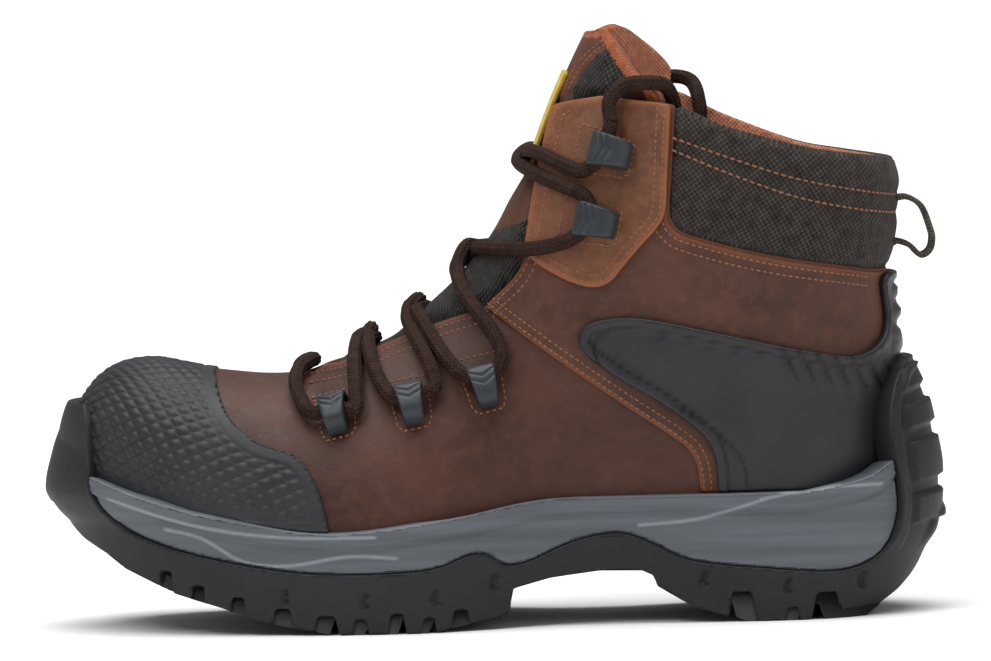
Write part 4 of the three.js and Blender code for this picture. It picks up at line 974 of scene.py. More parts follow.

# %% [markdown]
# ## Vamp and quarter
# The vamp and its lining make the closed foot of the boot, 2.2 mm thick. The quarter is a
# second leather laid over it behind the side seam, which is why a step shows there.
# A worn-in boot has soft creases across the flex line and at the ankle; they are listed
# as shallow troughs with a ridge between them.

# %% Creases
CREASES = [
    # from, to (side view mm), depth, half width
    ((64, 88), (52, 62), 0.55, 3.2), ((76, 84), (70, 64), 0.4, 3.0),
    ((-6, 98), (-30, 70), 0.45, 5.0), ((-62, 128), (-96, 112), 0.5, 5.0),
    ((-70, 118), (-112, 104), 0.4, 4.5), ((20, 60), (-8, 48), 0.35, 5.0),
]


def creases(x, z):
    total = np.zeros(x.shape)
    for (ax, az), (bx, bz), depth, width in CREASES:
        ex, ez = bx - ax, bz - az
        length2 = ex * ex + ez * ez
        t = ((x - ax) * ex + (z - az) * ez) / length2
        away = np.sqrt((x - ax - np.clip(t, 0, 1) * ex) ** 2 + (z - az - np.clip(t, 0, 1) * ez) ** 2)
        fade = smooth((t + 0.15) / 0.35) * smooth((1.15 - t) / 0.35)
        total -= depth * fade * np.exp(-(away / width) ** 2)
    return total


def vamp_outside(x, y, z, d, uv):
    return creases(x, z)


upper_grid = last_grid(240, 84)
vamp = panel("upper_vamp", upper_grid,
             lambda x, y, z: np.minimum(-in_opening(x, y, z), -in_cuff(x, y, z) + 0.5),
             -WALL, vamp_outside, [vamp_leather, lining_mesh], 0.5, 1)
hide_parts("upper")
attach(vamp, "root")

quarter_grid = last_grid(250, 90)
quarter = panel("upper_quarter", quarter_grid,
                lambda x, y, z: np.minimum.reduce([
                    polygon_distance(quarter_outline, x, z), -in_opening(x, y, z) - 0.4,
                    -in_cuff(x, y, z) - 0.5, over_rim(x, z) - 0.3]),
                -0.4, lambda x, y, z, d, uv: 1.0 + creases(x, z), [quarter_leather], 0.55)
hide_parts("upper")
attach(quarter, "root")

# %% [markdown]
# ## Toe cap
# A moulded rubber cap covers the toe shell. Its face has slanting rows of leaf-shaped
# scales, and a plain raised border runs along its back edge. A painted bump would look
# flat from the side, so the scales are real relief and cast their own small shadows.

# %% Toe cap
TOE_CAP_OUT = 2.5
SCALE_LONG, SCALE_ROW, SCALE_RELIEF, SCALE_WAVE = 6.4, 3.2, 0.8, 0.36
SCALE_TURN = math.radians(19)
CAP_FLUSH = 1.7


def scales(along, up):
    """Leaf-shaped scales in interleaved rows, each domed between two waved edges."""
    s = along * math.cos(SCALE_TURN) + up * math.sin(SCALE_TURN)
    t = (up * math.cos(SCALE_TURN) - along * math.sin(SCALE_TURN)) / SCALE_ROW
    height = np.zeros(s.shape)
    for step in (-1, 0, 1):
        row = np.floor(t) + step
        wave = SCALE_WAVE * np.cos(2 * np.pi * (s / SCALE_LONG + 0.5 * row))
        share = (t - row - wave) / (1 - 2 * wave)
        dome = np.sin(np.pi * np.clip(share, 0, 1)) ** 0.7 * np.sqrt(1 - 2 * wave) * (0.75 + 0.25 * share)
        height = np.where((share > 0) & (share < 1), dome, height)
    return height


def cap_face(x, y, z):
    """1 on the scaled face, 0 on the border and along the sole."""
    line = polygon_distance(toe_cap_outline, x, z)
    return smooth((line - 4.6) / 0.8) * smooth((over_rim(x, z) - 2.5) / 2)


def cap_outside(x, y, z, d, uv):
    line = polygon_distance(toe_cap_outline, x, z)
    border = 0.35 * (1 - smooth((line - 3.6) / 0.9))
    flush = CAP_FLUSH * smooth(((z - rim_z(x)) / ridge_rise(x) - 0.55) / 0.4)
    centre, half = section(x, np.zeros(x.shape))[:2]
    relief = SCALE_RELIEF * scales(uv[:, 0], z + 0.8 * (half - np.abs(y - centre)))
    return TOE_CAP_OUT - 0.35 + border - flush + cap_face(x, y, z) * (relief - 0.4)


cap_grid = last_grid(500, 144)
for sheet in cap_grid:
    start = int(np.argmin(np.abs(sheet[0][0, :, 0] - 95.0)))
    sheet[2] -= sheet[2][:, start:start + 1]
toe_cap = panel("toe_cap_rubber", cap_grid,
                lambda x, y, z: smooth_min(polygon_distance(toe_cap_outline, x, z), over_rim(x, z) - 0.3,
                                           0.5),
                0.3, cap_outside, [cap_rubber], 0.7)
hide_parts("toe_cap")
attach(toe_cap, "root")

# %% [markdown]
# ## Heel counter
# A moulded plastic shell grips the heel and sends a narrow strip up to the collar. It has
# a rounded rim, a dashed groove inside the rim, a few slanting ribs near the back and
# three blocks on the strip.

# %% Heel counter
COUNTER_IN, COUNTER_OUT = 1.3, 3.7
RIB_PLACES = [(-101 - 5.6 * i, 88.5 - 1.0 * i) for i in range(7)]
GROOVE_LINE = spline(on_upper([(0.25, 0.12), (0.3, 0.215), (0.35, 0.3), (0.363, 0.37), (0.357, 0.41),
                               (0.335, 0.42),
                               (0.3, 0.421), (0.21, 0.38), (0.114, 0.333), (0.06, 0.314)]))
CURVE_LINE = spline(on_upper([(0.262, 0.21), (0.215, 0.15), (0.19, 0.08), (0.185, 0.02)]))
POD_ROWS = [(0.335, 0.395), (0.42, 0.46), (0.475, 0.51)]


def counter_outside(x, y, z, d, uv):
    line = polygon_distance(counter_outline, x, z)
    rim = 1.1 * (1 - smooth((line - 2.6) / 1.0))
    groove = line_distance(GROOVE_LINE, x, z)
    dash = smooth(np.abs(np.mod((x + 0.4 * z) / 5.2, 1) - 0.5) / 0.12 - 0.6)
    relief = -0.8 * np.exp(-(groove / 0.7) ** 2) * (0.45 + 0.55 * dash)
    relief -= 0.5 * np.exp(-(line_distance(CURVE_LINE, x, z) / 0.7) ** 2)
    for px, pz in RIB_PLACES:
        rib = line_distance([(px - 2.6, pz - 6.5), (px + 2.4, pz + 5.0)], x, z)
        relief = relief + 0.7 * np.exp(-(rib / 0.6) ** 2)
    strip = smooth((-136.0 - x) / 2.5)
    for low, high in POD_ROWS:
        z0, z1 = RIM_HEIGHT + low * COLLAR_RISE, RIM_HEIGHT + high * COLLAR_RISE
        relief = relief + 1.5 * strip * smooth((z - z0) / 1.6) * smooth((z1 - z) / 1.6)
    return COUNTER_OUT - 0.9 + rim + relief


def counter_shade_distance(x, y, z):
    """How far a place is from the nearest line of painted shade on the shell: its grooves, the foot of its
    rim and one side of each rib.
    """
    ribs = np.minimum.reduce([line_distance([(px - 4.6, pz - 5.9), (px + 0.4, pz + 5.6)], x, z)
                              for px, pz in RIB_PLACES])
    inside_rim = np.abs(polygon_distance(counter_outline, x, z) - 3.5)
    return np.minimum.reduce([ribs, inside_rim, line_distance(GROOVE_LINE, x, z),
                              line_distance(CURVE_LINE, x, z)])


# Painted shade: the shell's colour goes near black along its grooves, at the foot of its rim and beside each
# rib.
counter_grid = last_grid(420, 130)
counter = panel("heel_counter_shell", counter_grid,
                lambda x, y, z: np.minimum(polygon_distance(counter_outline, x, z), over_rim(x, z) - 0.3),
                COUNTER_IN, counter_outside, [counter_plastic], 0.8, 0, {"painted_shade": counter_shade_distance})
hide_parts("heel_counter")
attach(counter, "root")

# %% [markdown]
# ## Hook facings
# A separate piece of leather on each side carries the two speed hooks. It lies over the
# quarter, so it is cut from the same form at a higher level.

# %% Hook facings
facing_grid = last_grid(250, 110)
for side, label in ((0, "lateral"), (1, "medial")):
    facing = panel(f"facing_leather_{label}", [facing_grid[side]],
                   lambda x, y, z: np.minimum.reduce([
                       polygon_distance(facing_outline, x, z), -in_opening(x, y, z) - 0.3,
                       -in_cuff(x, y, z) - 0.4]),
                   1.0, lambda x, y, z, d, uv: 2.8 + creases(x, z), [facing_leather], 0.55)
    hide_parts(f"hook_facing_{label}")
    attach(facing, "root")

# %% [markdown]
# ## Padded cuff
# The cuff is foam wrapped in coarse nylon outside and open mesh inside. It puffs between
# its edges and the two rows of stitching that run across it.

# %% Padded cuff
CUFF_ROWS = [
    spline(on_upper([(0.262, 0.9), (0.2, 0.85), (0.12, 0.792), (0.05, 0.758), (0.0, 0.738)])),
    spline(on_upper([(0.264, 0.87), (0.2, 0.81), (0.12, 0.746), (0.05, 0.71), (0.0, 0.692)])),
]


def cuff_outside(x, y, z, d, uv):
    puff = 1.9 * smooth(d / 9) ** 0.7
    for row in CUFF_ROWS:
        puff = puff - 1.0 * np.exp(-(line_distance(row, x, z) / 2.2) ** 2)
    return puff


cuff_grid = last_grid(300, 120)
cuff = panel("padded_cuff", cuff_grid,
             lambda x, y, z: smooth_min(in_cuff(x, y, z), -in_opening(x, y, z), 3.0),
             lambda x, y, z, d, uv: -5.6 - 0.6 * smooth(d / 8), cuff_outside,
             [cuff_textile, lining_mesh], 1.6, 1)
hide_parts("collar_cuff")
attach(cuff, "root")

# %% [markdown]
# ## Tongue
# The tongue is a padded strip under the lacing: leather low down, a window of knitted
# textile above, mesh inside, and it stands higher than the collar. Cloth simulation would
# sag it at random, so its puff is a smooth function of the distance to its edges.

# %% Tongue
WEAVE_WINDOW = [(-31.4, 183.5), (-34.6, 189.0), (-37.4, 192.5), (-40.9, 195.7), (-43.4, 197.2), (-46, 193.8),
                (-48.9, 188.3), (-50, 183.5), (-52, 170), (-34, 170)]
tongue_shapes = []
for places in (TONGUE_LATERAL, TONGUE_MEDIAL):
    line = spline(on_upper(places), 3)
    tongue_shapes.append(line + [(line[-1][0], FAR), (line[0][0] + 40, FAR), (line[0][0] + 40, line[0][1])])


def in_tongue(x, y, z):
    lateral = polygon_distance(tongue_shapes[0], x, z)
    medial = polygon_distance(tongue_shapes[1], x, z)
    return mix(medial, lateral, smooth((y + 6) / 12))


def tongue_outside(x, y, z, d, uv):
    height = (z - RIM_HEIGHT) / COLLAR_RISE
    low_level = mix(1.2, 1.6, smooth((z - 110) / 15))
    level = mix(low_level, 0.1, smooth((height - 0.72) / 0.12))
    return mix(-WALL - 0.35, level, smooth(in_opening(x, y, z) / 4.0))


def tongue_inside(x, y, z, d, uv):
    return tongue_outside(x, y, z, d, uv) - 4.6


tongue_grid = last_grid(340, 130)
tongue = panel("padded_tongue", tongue_grid, in_tongue, tongue_inside, tongue_outside,
               [tongue_leather, lining_mesh, tongue_textile, tongue_binding], 1.2, 1)
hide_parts("tongue")
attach(tongue, "root")
centres = np.zeros(3 * len(tongue.data.polygons))
kinds = np.zeros(len(tongue.data.polygons), np.int32)
tongue.data.polygons.foreach_get("center", centres)
tongue.data.polygons.foreach_get("material_index", kinds)
x, y, z = (centres / MM).reshape(-1, 3).T
outside = kinds == 0
low_part = z < 144.5 + 0.35 * (-30 - x)
window = (polygon_distance(WEAVE_WINDOW, x, z) > 0) & (y > 0)
bound = (in_tongue(x, y, z) < 2.6) & (z > 150)
kinds[outside & (low_part | window)] = 2
kinds[outside & bound] = 3
tongue.data.polygons.foreach_set("material_index", kinds)

# %% [markdown]
# ## Sole
# The sole has its own form: an outline from above that draws in towards the floor. Grids
# over that form are cut by side lines exactly as the panels were. The toe bumper and the
# heel wrap climb up the upper, so there the form is pushed out to clear the toe cap and
# the counter.

# %% Sole form
SOLE_BOTTOM = [
    (0.99, 1.0), (0.972, 0.818), (0.956, 0.72), (0.93, 0.62), (0.908, 0.507), (0.879, 0.414), (0.852, 0.323),
    (0.805, 0.227), (0.759, 0.116), (0.717, 0.052), (0.672, 0), (0.565, 0), (0.539, 0.043), (0.495, 0.091),
    (0.482, 0.152), (0.48, 0.309), (0.438, 0.38), (0.384, 0.425), (0.337, 0.418), (0.324, 0.375),
    (0.321, 0.295), (0.283, 0.132), (0.25, 0.055), (0.217, 0), (0.09, 0), (0.052, 0.166),
    (0.037, 0.266), (0.02, 0.42), (-0.02, 0.9),
]
MIDSOLE_UNDERSIDE = [
    (0.951, 1.8), (0.947, 1.634), (0.946, 1.318), (0.944, 1.105), (0.92, 0.88), (0.871, 0.714), (0.81, 0.6),
    (0.738, 0.507), (0.666, 0.47), (0.571, 0.491), (0.526, 0.593), (0.504, 0.582), (0.487, 0.5),
    (0.46, 0.518),
    (0.409, 0.666), (0.359, 0.714), (0.32, 0.611), (0.282, 0.486), (0.204, 0.416), (0.115, 0.375),
    (0.07, 0.502), (0.052, 0.759), (0.051, 0.995), (0.057, 1.311), (0.062, 1.55), (0.054, 1.825),
    (0.037, 2.002),
]
MIDSOLE_HEEL_RISE = [(0.157, 1.01), (0.09, 1.098), (0.059, 1.218), (0.03, 1.3)]
TREAD_NOTCHES = [
    (0.862, 0.09, 0.5), (0.826, 0.09, 0.39), (0.782, 0.09, 0.3), (0.733, 0.11, 0.21), (0.685, 0.13, 0.15),
    (0.647, 0.08, 0.12), (0.607, 0.09, 0.16), (0.572, 0.08, 0.12), (0.537, 0.1, 0.17), (0.228, 0.14, 0.23),
    (0.172, 0.07, 0.1), (0.134, 0.15, 0.21),
]
SIDE_POCKETS = [
    (0.729, 0.3), (0.641, 0.26), (0.563, 0.28), (0.497, 0.38), (0.268, 0.34), (0.176, 0.27), (0.093, 0.29),
]
sole_bottom = on_sole(SOLE_BOTTOM)
underside = spline(on_sole(MIDSOLE_UNDERSIDE), 3)


def sole_point(share, height, side):
    at = height / RIM_HEIGHT
    rear = (side_back(at) - 0.5) * SOLE_LENGTH
    front = (0.5 - side_front(at)) * SOLE_LENGTH
    half = (SOLE_BALL_WIDTH * sole_half(share) * side_width(at)
            * round_end(share * SOLE_LENGTH, 0.14 * SOLE_LENGTH)
            * round_end((1 - share) * SOLE_LENGTH, 0.16 * SOLE_LENGTH))
    return np.stack([mix(rear, front, share), SOLE_BALL_WIDTH * sole_centre(share) + side * half, height], -1)


def clearance_tree(offset):
    """The closed last, grown by an offset, for measuring how far out the sole has to stand."""
    points, faces = [], []
    for grid, normal, along, up in last_grid(120, 40):
        start = len(points)
        rows, columns = grid.shape[:2]
        points.extend((grid + normal * offset).reshape(-1, 3).tolist())
        for r in range(rows - 1):
            for c in range(columns - 1):
                a = start + r * columns + c
                faces.append((a, a + 1, a + columns + 1, a + columns))
    return BVHTree.FromPolygons([Vector(p) for p in points], faces)


def sole_grid(columns, low, high, levels):
    t = np.arange(columns + 1) / columns
    share = 0.12 * t + 0.88 * (1 - np.cos(np.pi * t)) / 2
    height = np.linspace(low, high, levels + 1)
    toe_tree, heel_tree = clearance_tree(TOE_CAP_OUT + 2.2), clearance_tree(COUNTER_OUT + 2.2)
    sides = []
    for side in (1, -1):
        points = sole_point(*np.broadcast_arrays(share[None, :], height[:, None]), side)
        for r in range(points.shape[0]):
            for c in range(points.shape[1]):
                x, y, z = points[r, c]
                if z < 42 or -96 < x < 92:
                    continue
                tree, axis = (toe_tree, 92.0) if x > 0 else (heel_tree, -96.0)
                origin = Vector((axis, SOLE_BALL_WIDTH * float(sole_centre(axis / SOLE_LENGTH + 0.5)), z))
                direction = Vector((x, y, z)) - origin
                reach = direction.length
                hit = tree.ray_cast(origin, direction.normalized())
                if hit[0] is not None and hit[3] > reach:
                    points[r, c] = origin + direction.normalized() * hit[3]
        middle = np.zeros_like(points)
        middle[..., 0] = np.clip(points[..., 0], -100, 95)
        middle[..., 1] = SOLE_BALL_WIDTH * sole_centre(middle[..., 0] / SOLE_LENGTH + 0.5)
        middle[..., 2] = points[..., 2]
        normal = grid_normals(points, points - middle)
        sides.append([points, normal, arc_lengths(points, 1), arc_lengths(points, 0)])
    share_normals(sides, slice(None), 0)
    share_normals(sides, slice(None), -1)
    return sides


fine_sole = sole_grid(340, -4.4, 92.0, 140)
print("sole grid ready")

# %% [markdown]
# ## Outsole wall
# The outsole is one moulded rubber piece that climbs over the toe and round the heel.
# Its wall is cut from the sole's form between two side lines, and notches, blocks and
# ribs are levels on that wall, since they are all moulded in one go.

# %% Outsole wall
outsole_outline = (sole_bottom + [(-FAR, sole_bottom[-1][1]), (-FAR, underside[-1][1] + 4)] + underside[::-1]
                   + [(FAR, underside[0][1]), (FAR, sole_bottom[0][1])])
WRAP_BLOCKS = [
    [(-140.5, 84), (-158, 87), (-158, 80), (-141.5, 75.5)],
    [(-142.5, 72), (-160, 75), (-160, 66), (-143.5, 63)],
    [(-144.5, 59.5), (-162, 61.5), (-162, 47), (-145.5, 45)],
    [(-145.5, 41.5), (-163, 43), (-163, 33), (-145, 31)],
]


def notch_shapes():
    shapes = []
    for at, wide, high in TREAD_NOTCHES:
        (x, top), = on_sole([(at, high)])
        half = wide * RIM_HEIGHT / 2
        shapes.append([(x - half * 1.7, -2), (x + half * 1.7, -2), (x + half, top), (x - half, top)])
    return shapes


def in_outsole(x, y, z):
    distance = polygon_distance(outsole_outline, x, z)
    for shape in notch_shapes():
        distance = np.minimum(distance, -polygon_distance(shape, x, z))
    return distance


def outsole_outside(x, y, z, d, uv):
    relief = np.zeros(x.shape)
    for place in on_sole(SIDE_POCKETS):
        px, pz = place
        crescent = np.hypot((x - px) / 1.9, (z - pz) / 3.0)
        bite = np.hypot((x - px + 1.7) / 1.5, (z - pz) / 2.4)
        relief -= 1.6 * smooth((1.1 - crescent) / 0.3) * smooth((bite - 0.8) / 0.3)
    for shape in WRAP_BLOCKS:
        relief = relief + 1.9 * smooth((polygon_distance(shape, x, z) + 0.2) / 1.2)
    rim = polygon_distance(outsole_outline, x, z)
    front_rim = smooth((-128 - x) / 6) * (1 - smooth((rim - 3.2) / 1.6)) * smooth((z - 20) / 10)
    return relief + 1.8 * front_rim - 0.55 * smooth((-140 - x) / 3) * smooth((z - 26) / 6)


outsole = panel("outsole_wall", fine_sole, in_outsole, -9.0, outsole_outside, [outsole_rubber], 0.7)
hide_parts("outsole")
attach(outsole, "root")

# %% [markdown]
# ## Tread
# The lugs touch the floor and the channels between them let water out. A sheet of points
# under the sole is pushed up by the channels' depth, which needs no cutting of solids.

# %% Tread
bottom_table = np.array(sole_bottom[::-1])
bottom_x = bottom_table[:, 0] + np.arange(len(bottom_table)) * 1e-6


def tread_grid(columns, rows):
    t = np.arange(columns + 1) / columns
    share = 0.12 * t + 0.88 * (1 - np.cos(np.pi * t)) / 2
    v = np.linspace(-1, 1, rows + 1)
    rim_left, rim_right = (sole_point(share, np.full(share.shape, 4.0), side) for side in (1, -1))
    middle, half = (rim_left + rim_right) / 2, (rim_left - rim_right) / 2
    points = middle[None, :, :] + half[None, :, :] * v[:, None, None] * 0.985
    points[..., 2] = np.interp(points[..., 0], bottom_x, bottom_table[:, 1])
    normal = np.zeros_like(points)
    normal[..., 2] = -1
    return [[points, normal, arc_lengths(points, 1), arc_lengths(points, 0)]]


def lugs(x, y):
    centre = SOLE_BALL_WIDTH * sole_centre(x / SOLE_LENGTH + 0.5)
    across = np.abs(y - centre)
    gap = np.zeros(x.shape)
    for at, wide, high in TREAD_NOTCHES:
        middle = (at - 0.5) * SOLE_LENGTH + across * 0.14
        half = wide * RIM_HEIGHT / 2
        gap = np.maximum(gap, smooth((half + 0.9 - np.abs(x - middle)) / 1.2))
    for offset in (0.16, 0.36):
        fore = (x > 2) & (x < 118)
        channel = smooth((3.0 - np.abs(across - offset * SOLE_BALL_WIDTH)) / 1.2)
        gap = np.maximum(gap, np.where(fore, channel, 0))
    heel_run = (x < -58) & (x > -140)
    channel = smooth((2.6 - np.abs(across - 0.17 * SOLE_BALL_WIDTH)) / 1.2)
    gap = np.maximum(gap, np.where(heel_run, channel, 0))
    arch = smooth((x + 58) / 3) * smooth((-8 - x) / 3)
    ribs = 0.35 + 0.25 * np.cos(2 * np.pi * x / 7)
    return np.maximum(gap * (1 - arch), arch * ribs * 0.25)


tread = panel("outsole_tread", tread_grid(240, 78),
              lambda x, y, z: np.full(x.shape, 1.0), -9.5,
              lambda x, y, z, d, uv: -5.2 * lugs(x, y), [outsole_rubber], 0.0)
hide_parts("outsole")
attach(tread, "root")

# %% [markdown]
# ## Midsole
# The midsole is cast foam between the outsole and the leather. It shows as a band along
# the side, so a panel of the sole's form is enough, with its flowing veins as pale lines in its colour.

# %% Midsole
heel_rise = spline(on_sole(MIDSOLE_HEEL_RISE))
rim_places = np.linspace(heel_rise[0][0] + 1, 176, 60)
midsole_top = list(reversed(heel_rise)) + [(float(x), float(rim_z(x))) for x in rim_places]
midsole_outline = [(-FAR, RIM_HEIGHT)] + midsole_top + [(FAR, RIM_HEIGHT), (FAR, -FAR), (-FAR, -FAR)]
VEINS = [
    spline([(113, 36.5), (100, 33.5), (86, 25.5), (70, 24), (50, 27), (33, 26)]),
    spline([(-50, 34), (-72, 36), (-100, 44), (-126, 50)]),
    spline([(132, 47), (104, 38.5), (74, 34), (40, 33.5)]),
    spline([(-92, 42), (-112, 45.5), (-134, 46)]),
]


def in_midsole(x, y, z):
    return np.minimum(polygon_distance(midsole_outline, x, z), polygon_distance(underside, x, z) - 0.1)


def midsole_outside(x, y, z, d, uv):
    top = polygon_distance(midsole_outline, x, z)
    lip = 1 - smooth((top - 5.2) / 1.0)
    ridges = 0.18 * np.sin(2 * np.pi * top / 1.9) * smooth((8 - top) / 3) * smooth((top - 1) / 1)
    bead = 0.35 * np.exp(-((top - 6.6) / 0.7) ** 2)
    return -1.0 + lip + ridges - bead


midsole = panel("midsole_wall", fine_sole, in_midsole, -10.0, midsole_outside, [midsole_foam], 0.9, 0,
                {"vein": lambda x, y, z: np.minimum.reduce([line_distance(v, x, z) for v in VEINS])})
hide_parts("midsole")
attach(midsole, "root")

# %% [markdown]
# ## Laces
# One lace runs from the lowest bar, through each loop, across the tongue to the other
# side and up to the hooks. Its two halves mirror each other, and where they cross over
# the tongue one lies on top of the other. The places are read in the side view, and each
# point is then moved out of the boot until the lace clears the leather under it.

# %% Lacing route
LOOP_PLACES = on_upper([(0.672, 0.224), (0.583, 0.248), (0.496, 0.293)])
HOOK_PLACES = on_upper([(0.361, 0.692), (0.342, 0.86)])
LOOP_CORE, HOOK_CORE = 4.2, 8.4
# Each crossing as the outer side shows it: up from a loop, to the middle of the tongue,
# then down the other side to the next loop. x and z are millimetres, and the share says
# how far the lace has come from the panel's side (0) to the middle of the boot (1).
BAR = [((60.5, 74.5), 0), ((64.9, 79.5), 0.02), ((66.6, 85.6), 0.2), ((65.2, 90.2), 0.45),
       ((62.2, 92.2), 0.7),
       ((60.4, 92.8), 1.0)]
UP = [
    [((46.2, 75.5), 0), ((45.8, 82), 0.05), ((46.2, 89), 0.2), ((46.0, 95.5), 0.4), ((44.8, 99.6), 0.62),
     ((42.4, 100.8), 0.82), ((39.6, 101.2), 1.0)],
    [((18.9, 82.5), 0), ((19.6, 88), 0.05), ((22.4, 95), 0.2), ((25.8, 101.6), 0.36), ((27.6, 107.0), 0.55),
     ((26.6, 110.6), 0.75), ((23.4, 113.0), 1.0)],
    [((-3.8, 89.2), 0), ((-4.6, 94), 0.04), ((-2.2, 100), 0.14), ((2.2, 106.4), 0.3), ((6.2, 112), 0.45),
     ((9.2, 118), 0.6), ((9.8, 124.6), 0.8), ((6.4, 131.0), 1.0)],
    [((-34.6, 146.2), 0), ((-29.0, 149.4), 0.2), ((-21.5, 153), 0.45), ((-15.6, 156.6), 0.7),
     ((-12.2, 160.6), 1.0)],
]
DOWN = [
    [((41.2, 100.2), 0.75), ((41.0, 95.6), 0.5), ((39.3, 89.2), 0.26), ((36.4, 83.4), 0.08),
     ((33.0, 79.4), 0)],
    [((24.4, 109.8), 0.78), ((21.6, 104.0), 0.55), ((17.6, 97.0), 0.3), ((13.0, 90.6), 0.1),
     ((8.8, 86.6), 0)],
    [((2.4, 130.2), 0.85), ((-5.6, 129.4), 0.6), ((-14.2, 129.0), 0.35), ((-23.4, 130.0), 0.12),
     ((-30.2, 132.4), 0)],
    [((-15.6, 163.0), 0.85), ((-20.6, 161.4), 0.6), ((-27.0, 158.0), 0.3), ((-34.2, 155.4), 0)],
]
CROSSING_LIFT = [3.2, 3.2, 4.0, 4.2]
SIDE_LIFT = [3.8, 3.8, 4.0, 5.8]
SUNK_LIFT, CROSSED, BAR_LIFT = 0.9, 3.5, 3.0
# The tables are read at 22 mm from the middle; nearer points lie lower in the picture.
VIEW_SLOPE, VIEW_DEPTH = math.tan(math.radians(VIEW_HEIGHT_DEG)), 22.0
last_tree = clearance_tree(0.0)
lifted_trees = {lift: clearance_tree(lift) for lift in sorted(set(CROSSING_LIFT + SIDE_LIFT))}


def seat(place, share, side, lift):
    """A point of the lace beside the middle, outside the last by at least the lift."""
    x, z = place
    rise = min(z - float(rim_z(x)), 0.93 * float(ridge_rise(x)))
    centre = float(section(x, max(0.0, rise))[0])
    widest = abs(on_form((x, rise + float(rim_z(x))), 1, lift)[1] - centre)
    reach = widest * (1 - share)
    hit = lifted_trees[lift].ray_cast(Vector((x, centre, z)), Vector((0, side, 0)))
    if hit[0] is not None:
        reach = max(reach, hit[3])
    return (x, centre + side * reach, z + VIEW_SLOPE * (reach - VIEW_DEPTH))


def crest(place, least, sunk):
    """A point on the ridge, where the two halves cross. The lower one sinks into the pad."""
    x, z = place[0], place[1] - VIEW_SLOPE * VIEW_DEPTH
    found = last_tree.find_nearest(Vector((x, 0.0, z)))
    base = np.array(found[0])
    base[1] = 0.0
    out = form_normal(base + np.array([0, 0.01, 0]))
    out[1] = 0.0
    out /= np.linalg.norm(out)
    outside = float(np.dot(np.array([x, 0.0, z]) - base, out))
    return tuple(base + out * (max(outside, least) - sunk))


def lace_half(side):
    route = [seat(place, share, side, SIDE_LIFT[0]) if share < 1 else crest(place, BAR_LIFT, 0.0)
             for place, share in reversed(BAR)]
    current = side
    for step in range(4):
        place, core = (LOOP_PLACES[step], LOOP_CORE) if step < 3 else (HOOK_PLACES[0], HOOK_CORE)
        route.append(tuple(on_form(place, current, core)))
        on_top = (side > 0) == (step % 2 == 0)
        for spot, share in UP[step]:
            lift = SIDE_LIFT[step] if share < 0.3 else CROSSING_LIFT[step]
            sunk = 0.0 if on_top else CROSSED
            route.append(crest(spot, SUNK_LIFT + CROSSED, sunk) if share == 1
                         else seat(spot, share, current, lift))
        current = -current
        for spot, share in DOWN[step]:
            lift = SIDE_LIFT[min(3, step + 1)] if share < 0.3 else CROSSING_LIFT[step]
            route.append(seat(spot, share, current, lift))
    route.append(tuple(on_form(HOOK_PLACES[1], current, HOOK_CORE)))
    return route


halves = []
for side, label, route in ((1, "a", LATERAL_ROUTE), (-1, "b", MEDIAL_ROUTE)):
    places = lace_half(side) + [tuple(1000 * v for v in route[0])]
    piece, length = tube(f"lace_half_{label}", catmull(places, 1.0), LACE_RADIUS, 32, lace_braid)
    halves.append(piece)
    print(piece.name, "length", round(length), "mm")
bpy.ops.object.select_all(action="DESELECT")
for piece in halves:
    piece.select_set(True)
bpy.context.view_layer.objects.active = halves[0]
bpy.ops.object.join()
lace = bpy.context.view_layer.objects.active
lace.name = "lace_crossings"
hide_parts("lace")
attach(lace, "root")

# %% [markdown]
# ## Lace loops and hooks
# Three loops and two open hooks a side are moulded plastic shields that arch over the
# lace. Each is one closed profile swept across its width; the profile is narrower at the
# far end, its top carries shallow chevrons and its rim is rounded.

# %% Lace loops and hooks
FITTING_HALF, FITTING_SHIFT, FITTING_WALL, BORE_HALF = 7.4, 2.0, 1.5, 3.3


def fitting_frame(places, index, side, base):
    """Where a fitting sits, the way the lace runs, away from the throat, and outward."""
    x, z = places[index]
    before, after = places[max(0, index - 1)], places[min(len(places) - 1, index + 1)]
    out = form_normal(on_form((x, z), side, 0.0))
    along = np.array([after[0] - before[0], 0.0, after[1] - before[1]])
    along -= out * np.dot(along, out)
    along /= np.linalg.norm(along)
    return on_form((x, z), side, base), along, np.cross(out, along) * -side, out


def arch_profile(floor):
    """The profile across the lace: a rounded roof, then the tunnel under it."""
    t = np.linspace(0, np.pi, 81)
    crown = floor + 2 * BORE_HALF + FITTING_WALL
    flat = lambda v, power: np.sign(v) * np.abs(v) ** power
    roof = np.stack([FITTING_SHIFT - FITTING_HALF * flat(np.cos(t), 0.8),
                     floor + (crown - floor) * np.sin(t) ** 0.5], -1)
    tunnel = np.stack([BORE_HALF * flat(np.cos(t), 0.9), floor + 2 * BORE_HALF * np.sin(t) ** 0.9], -1)
    return roof, tunnel


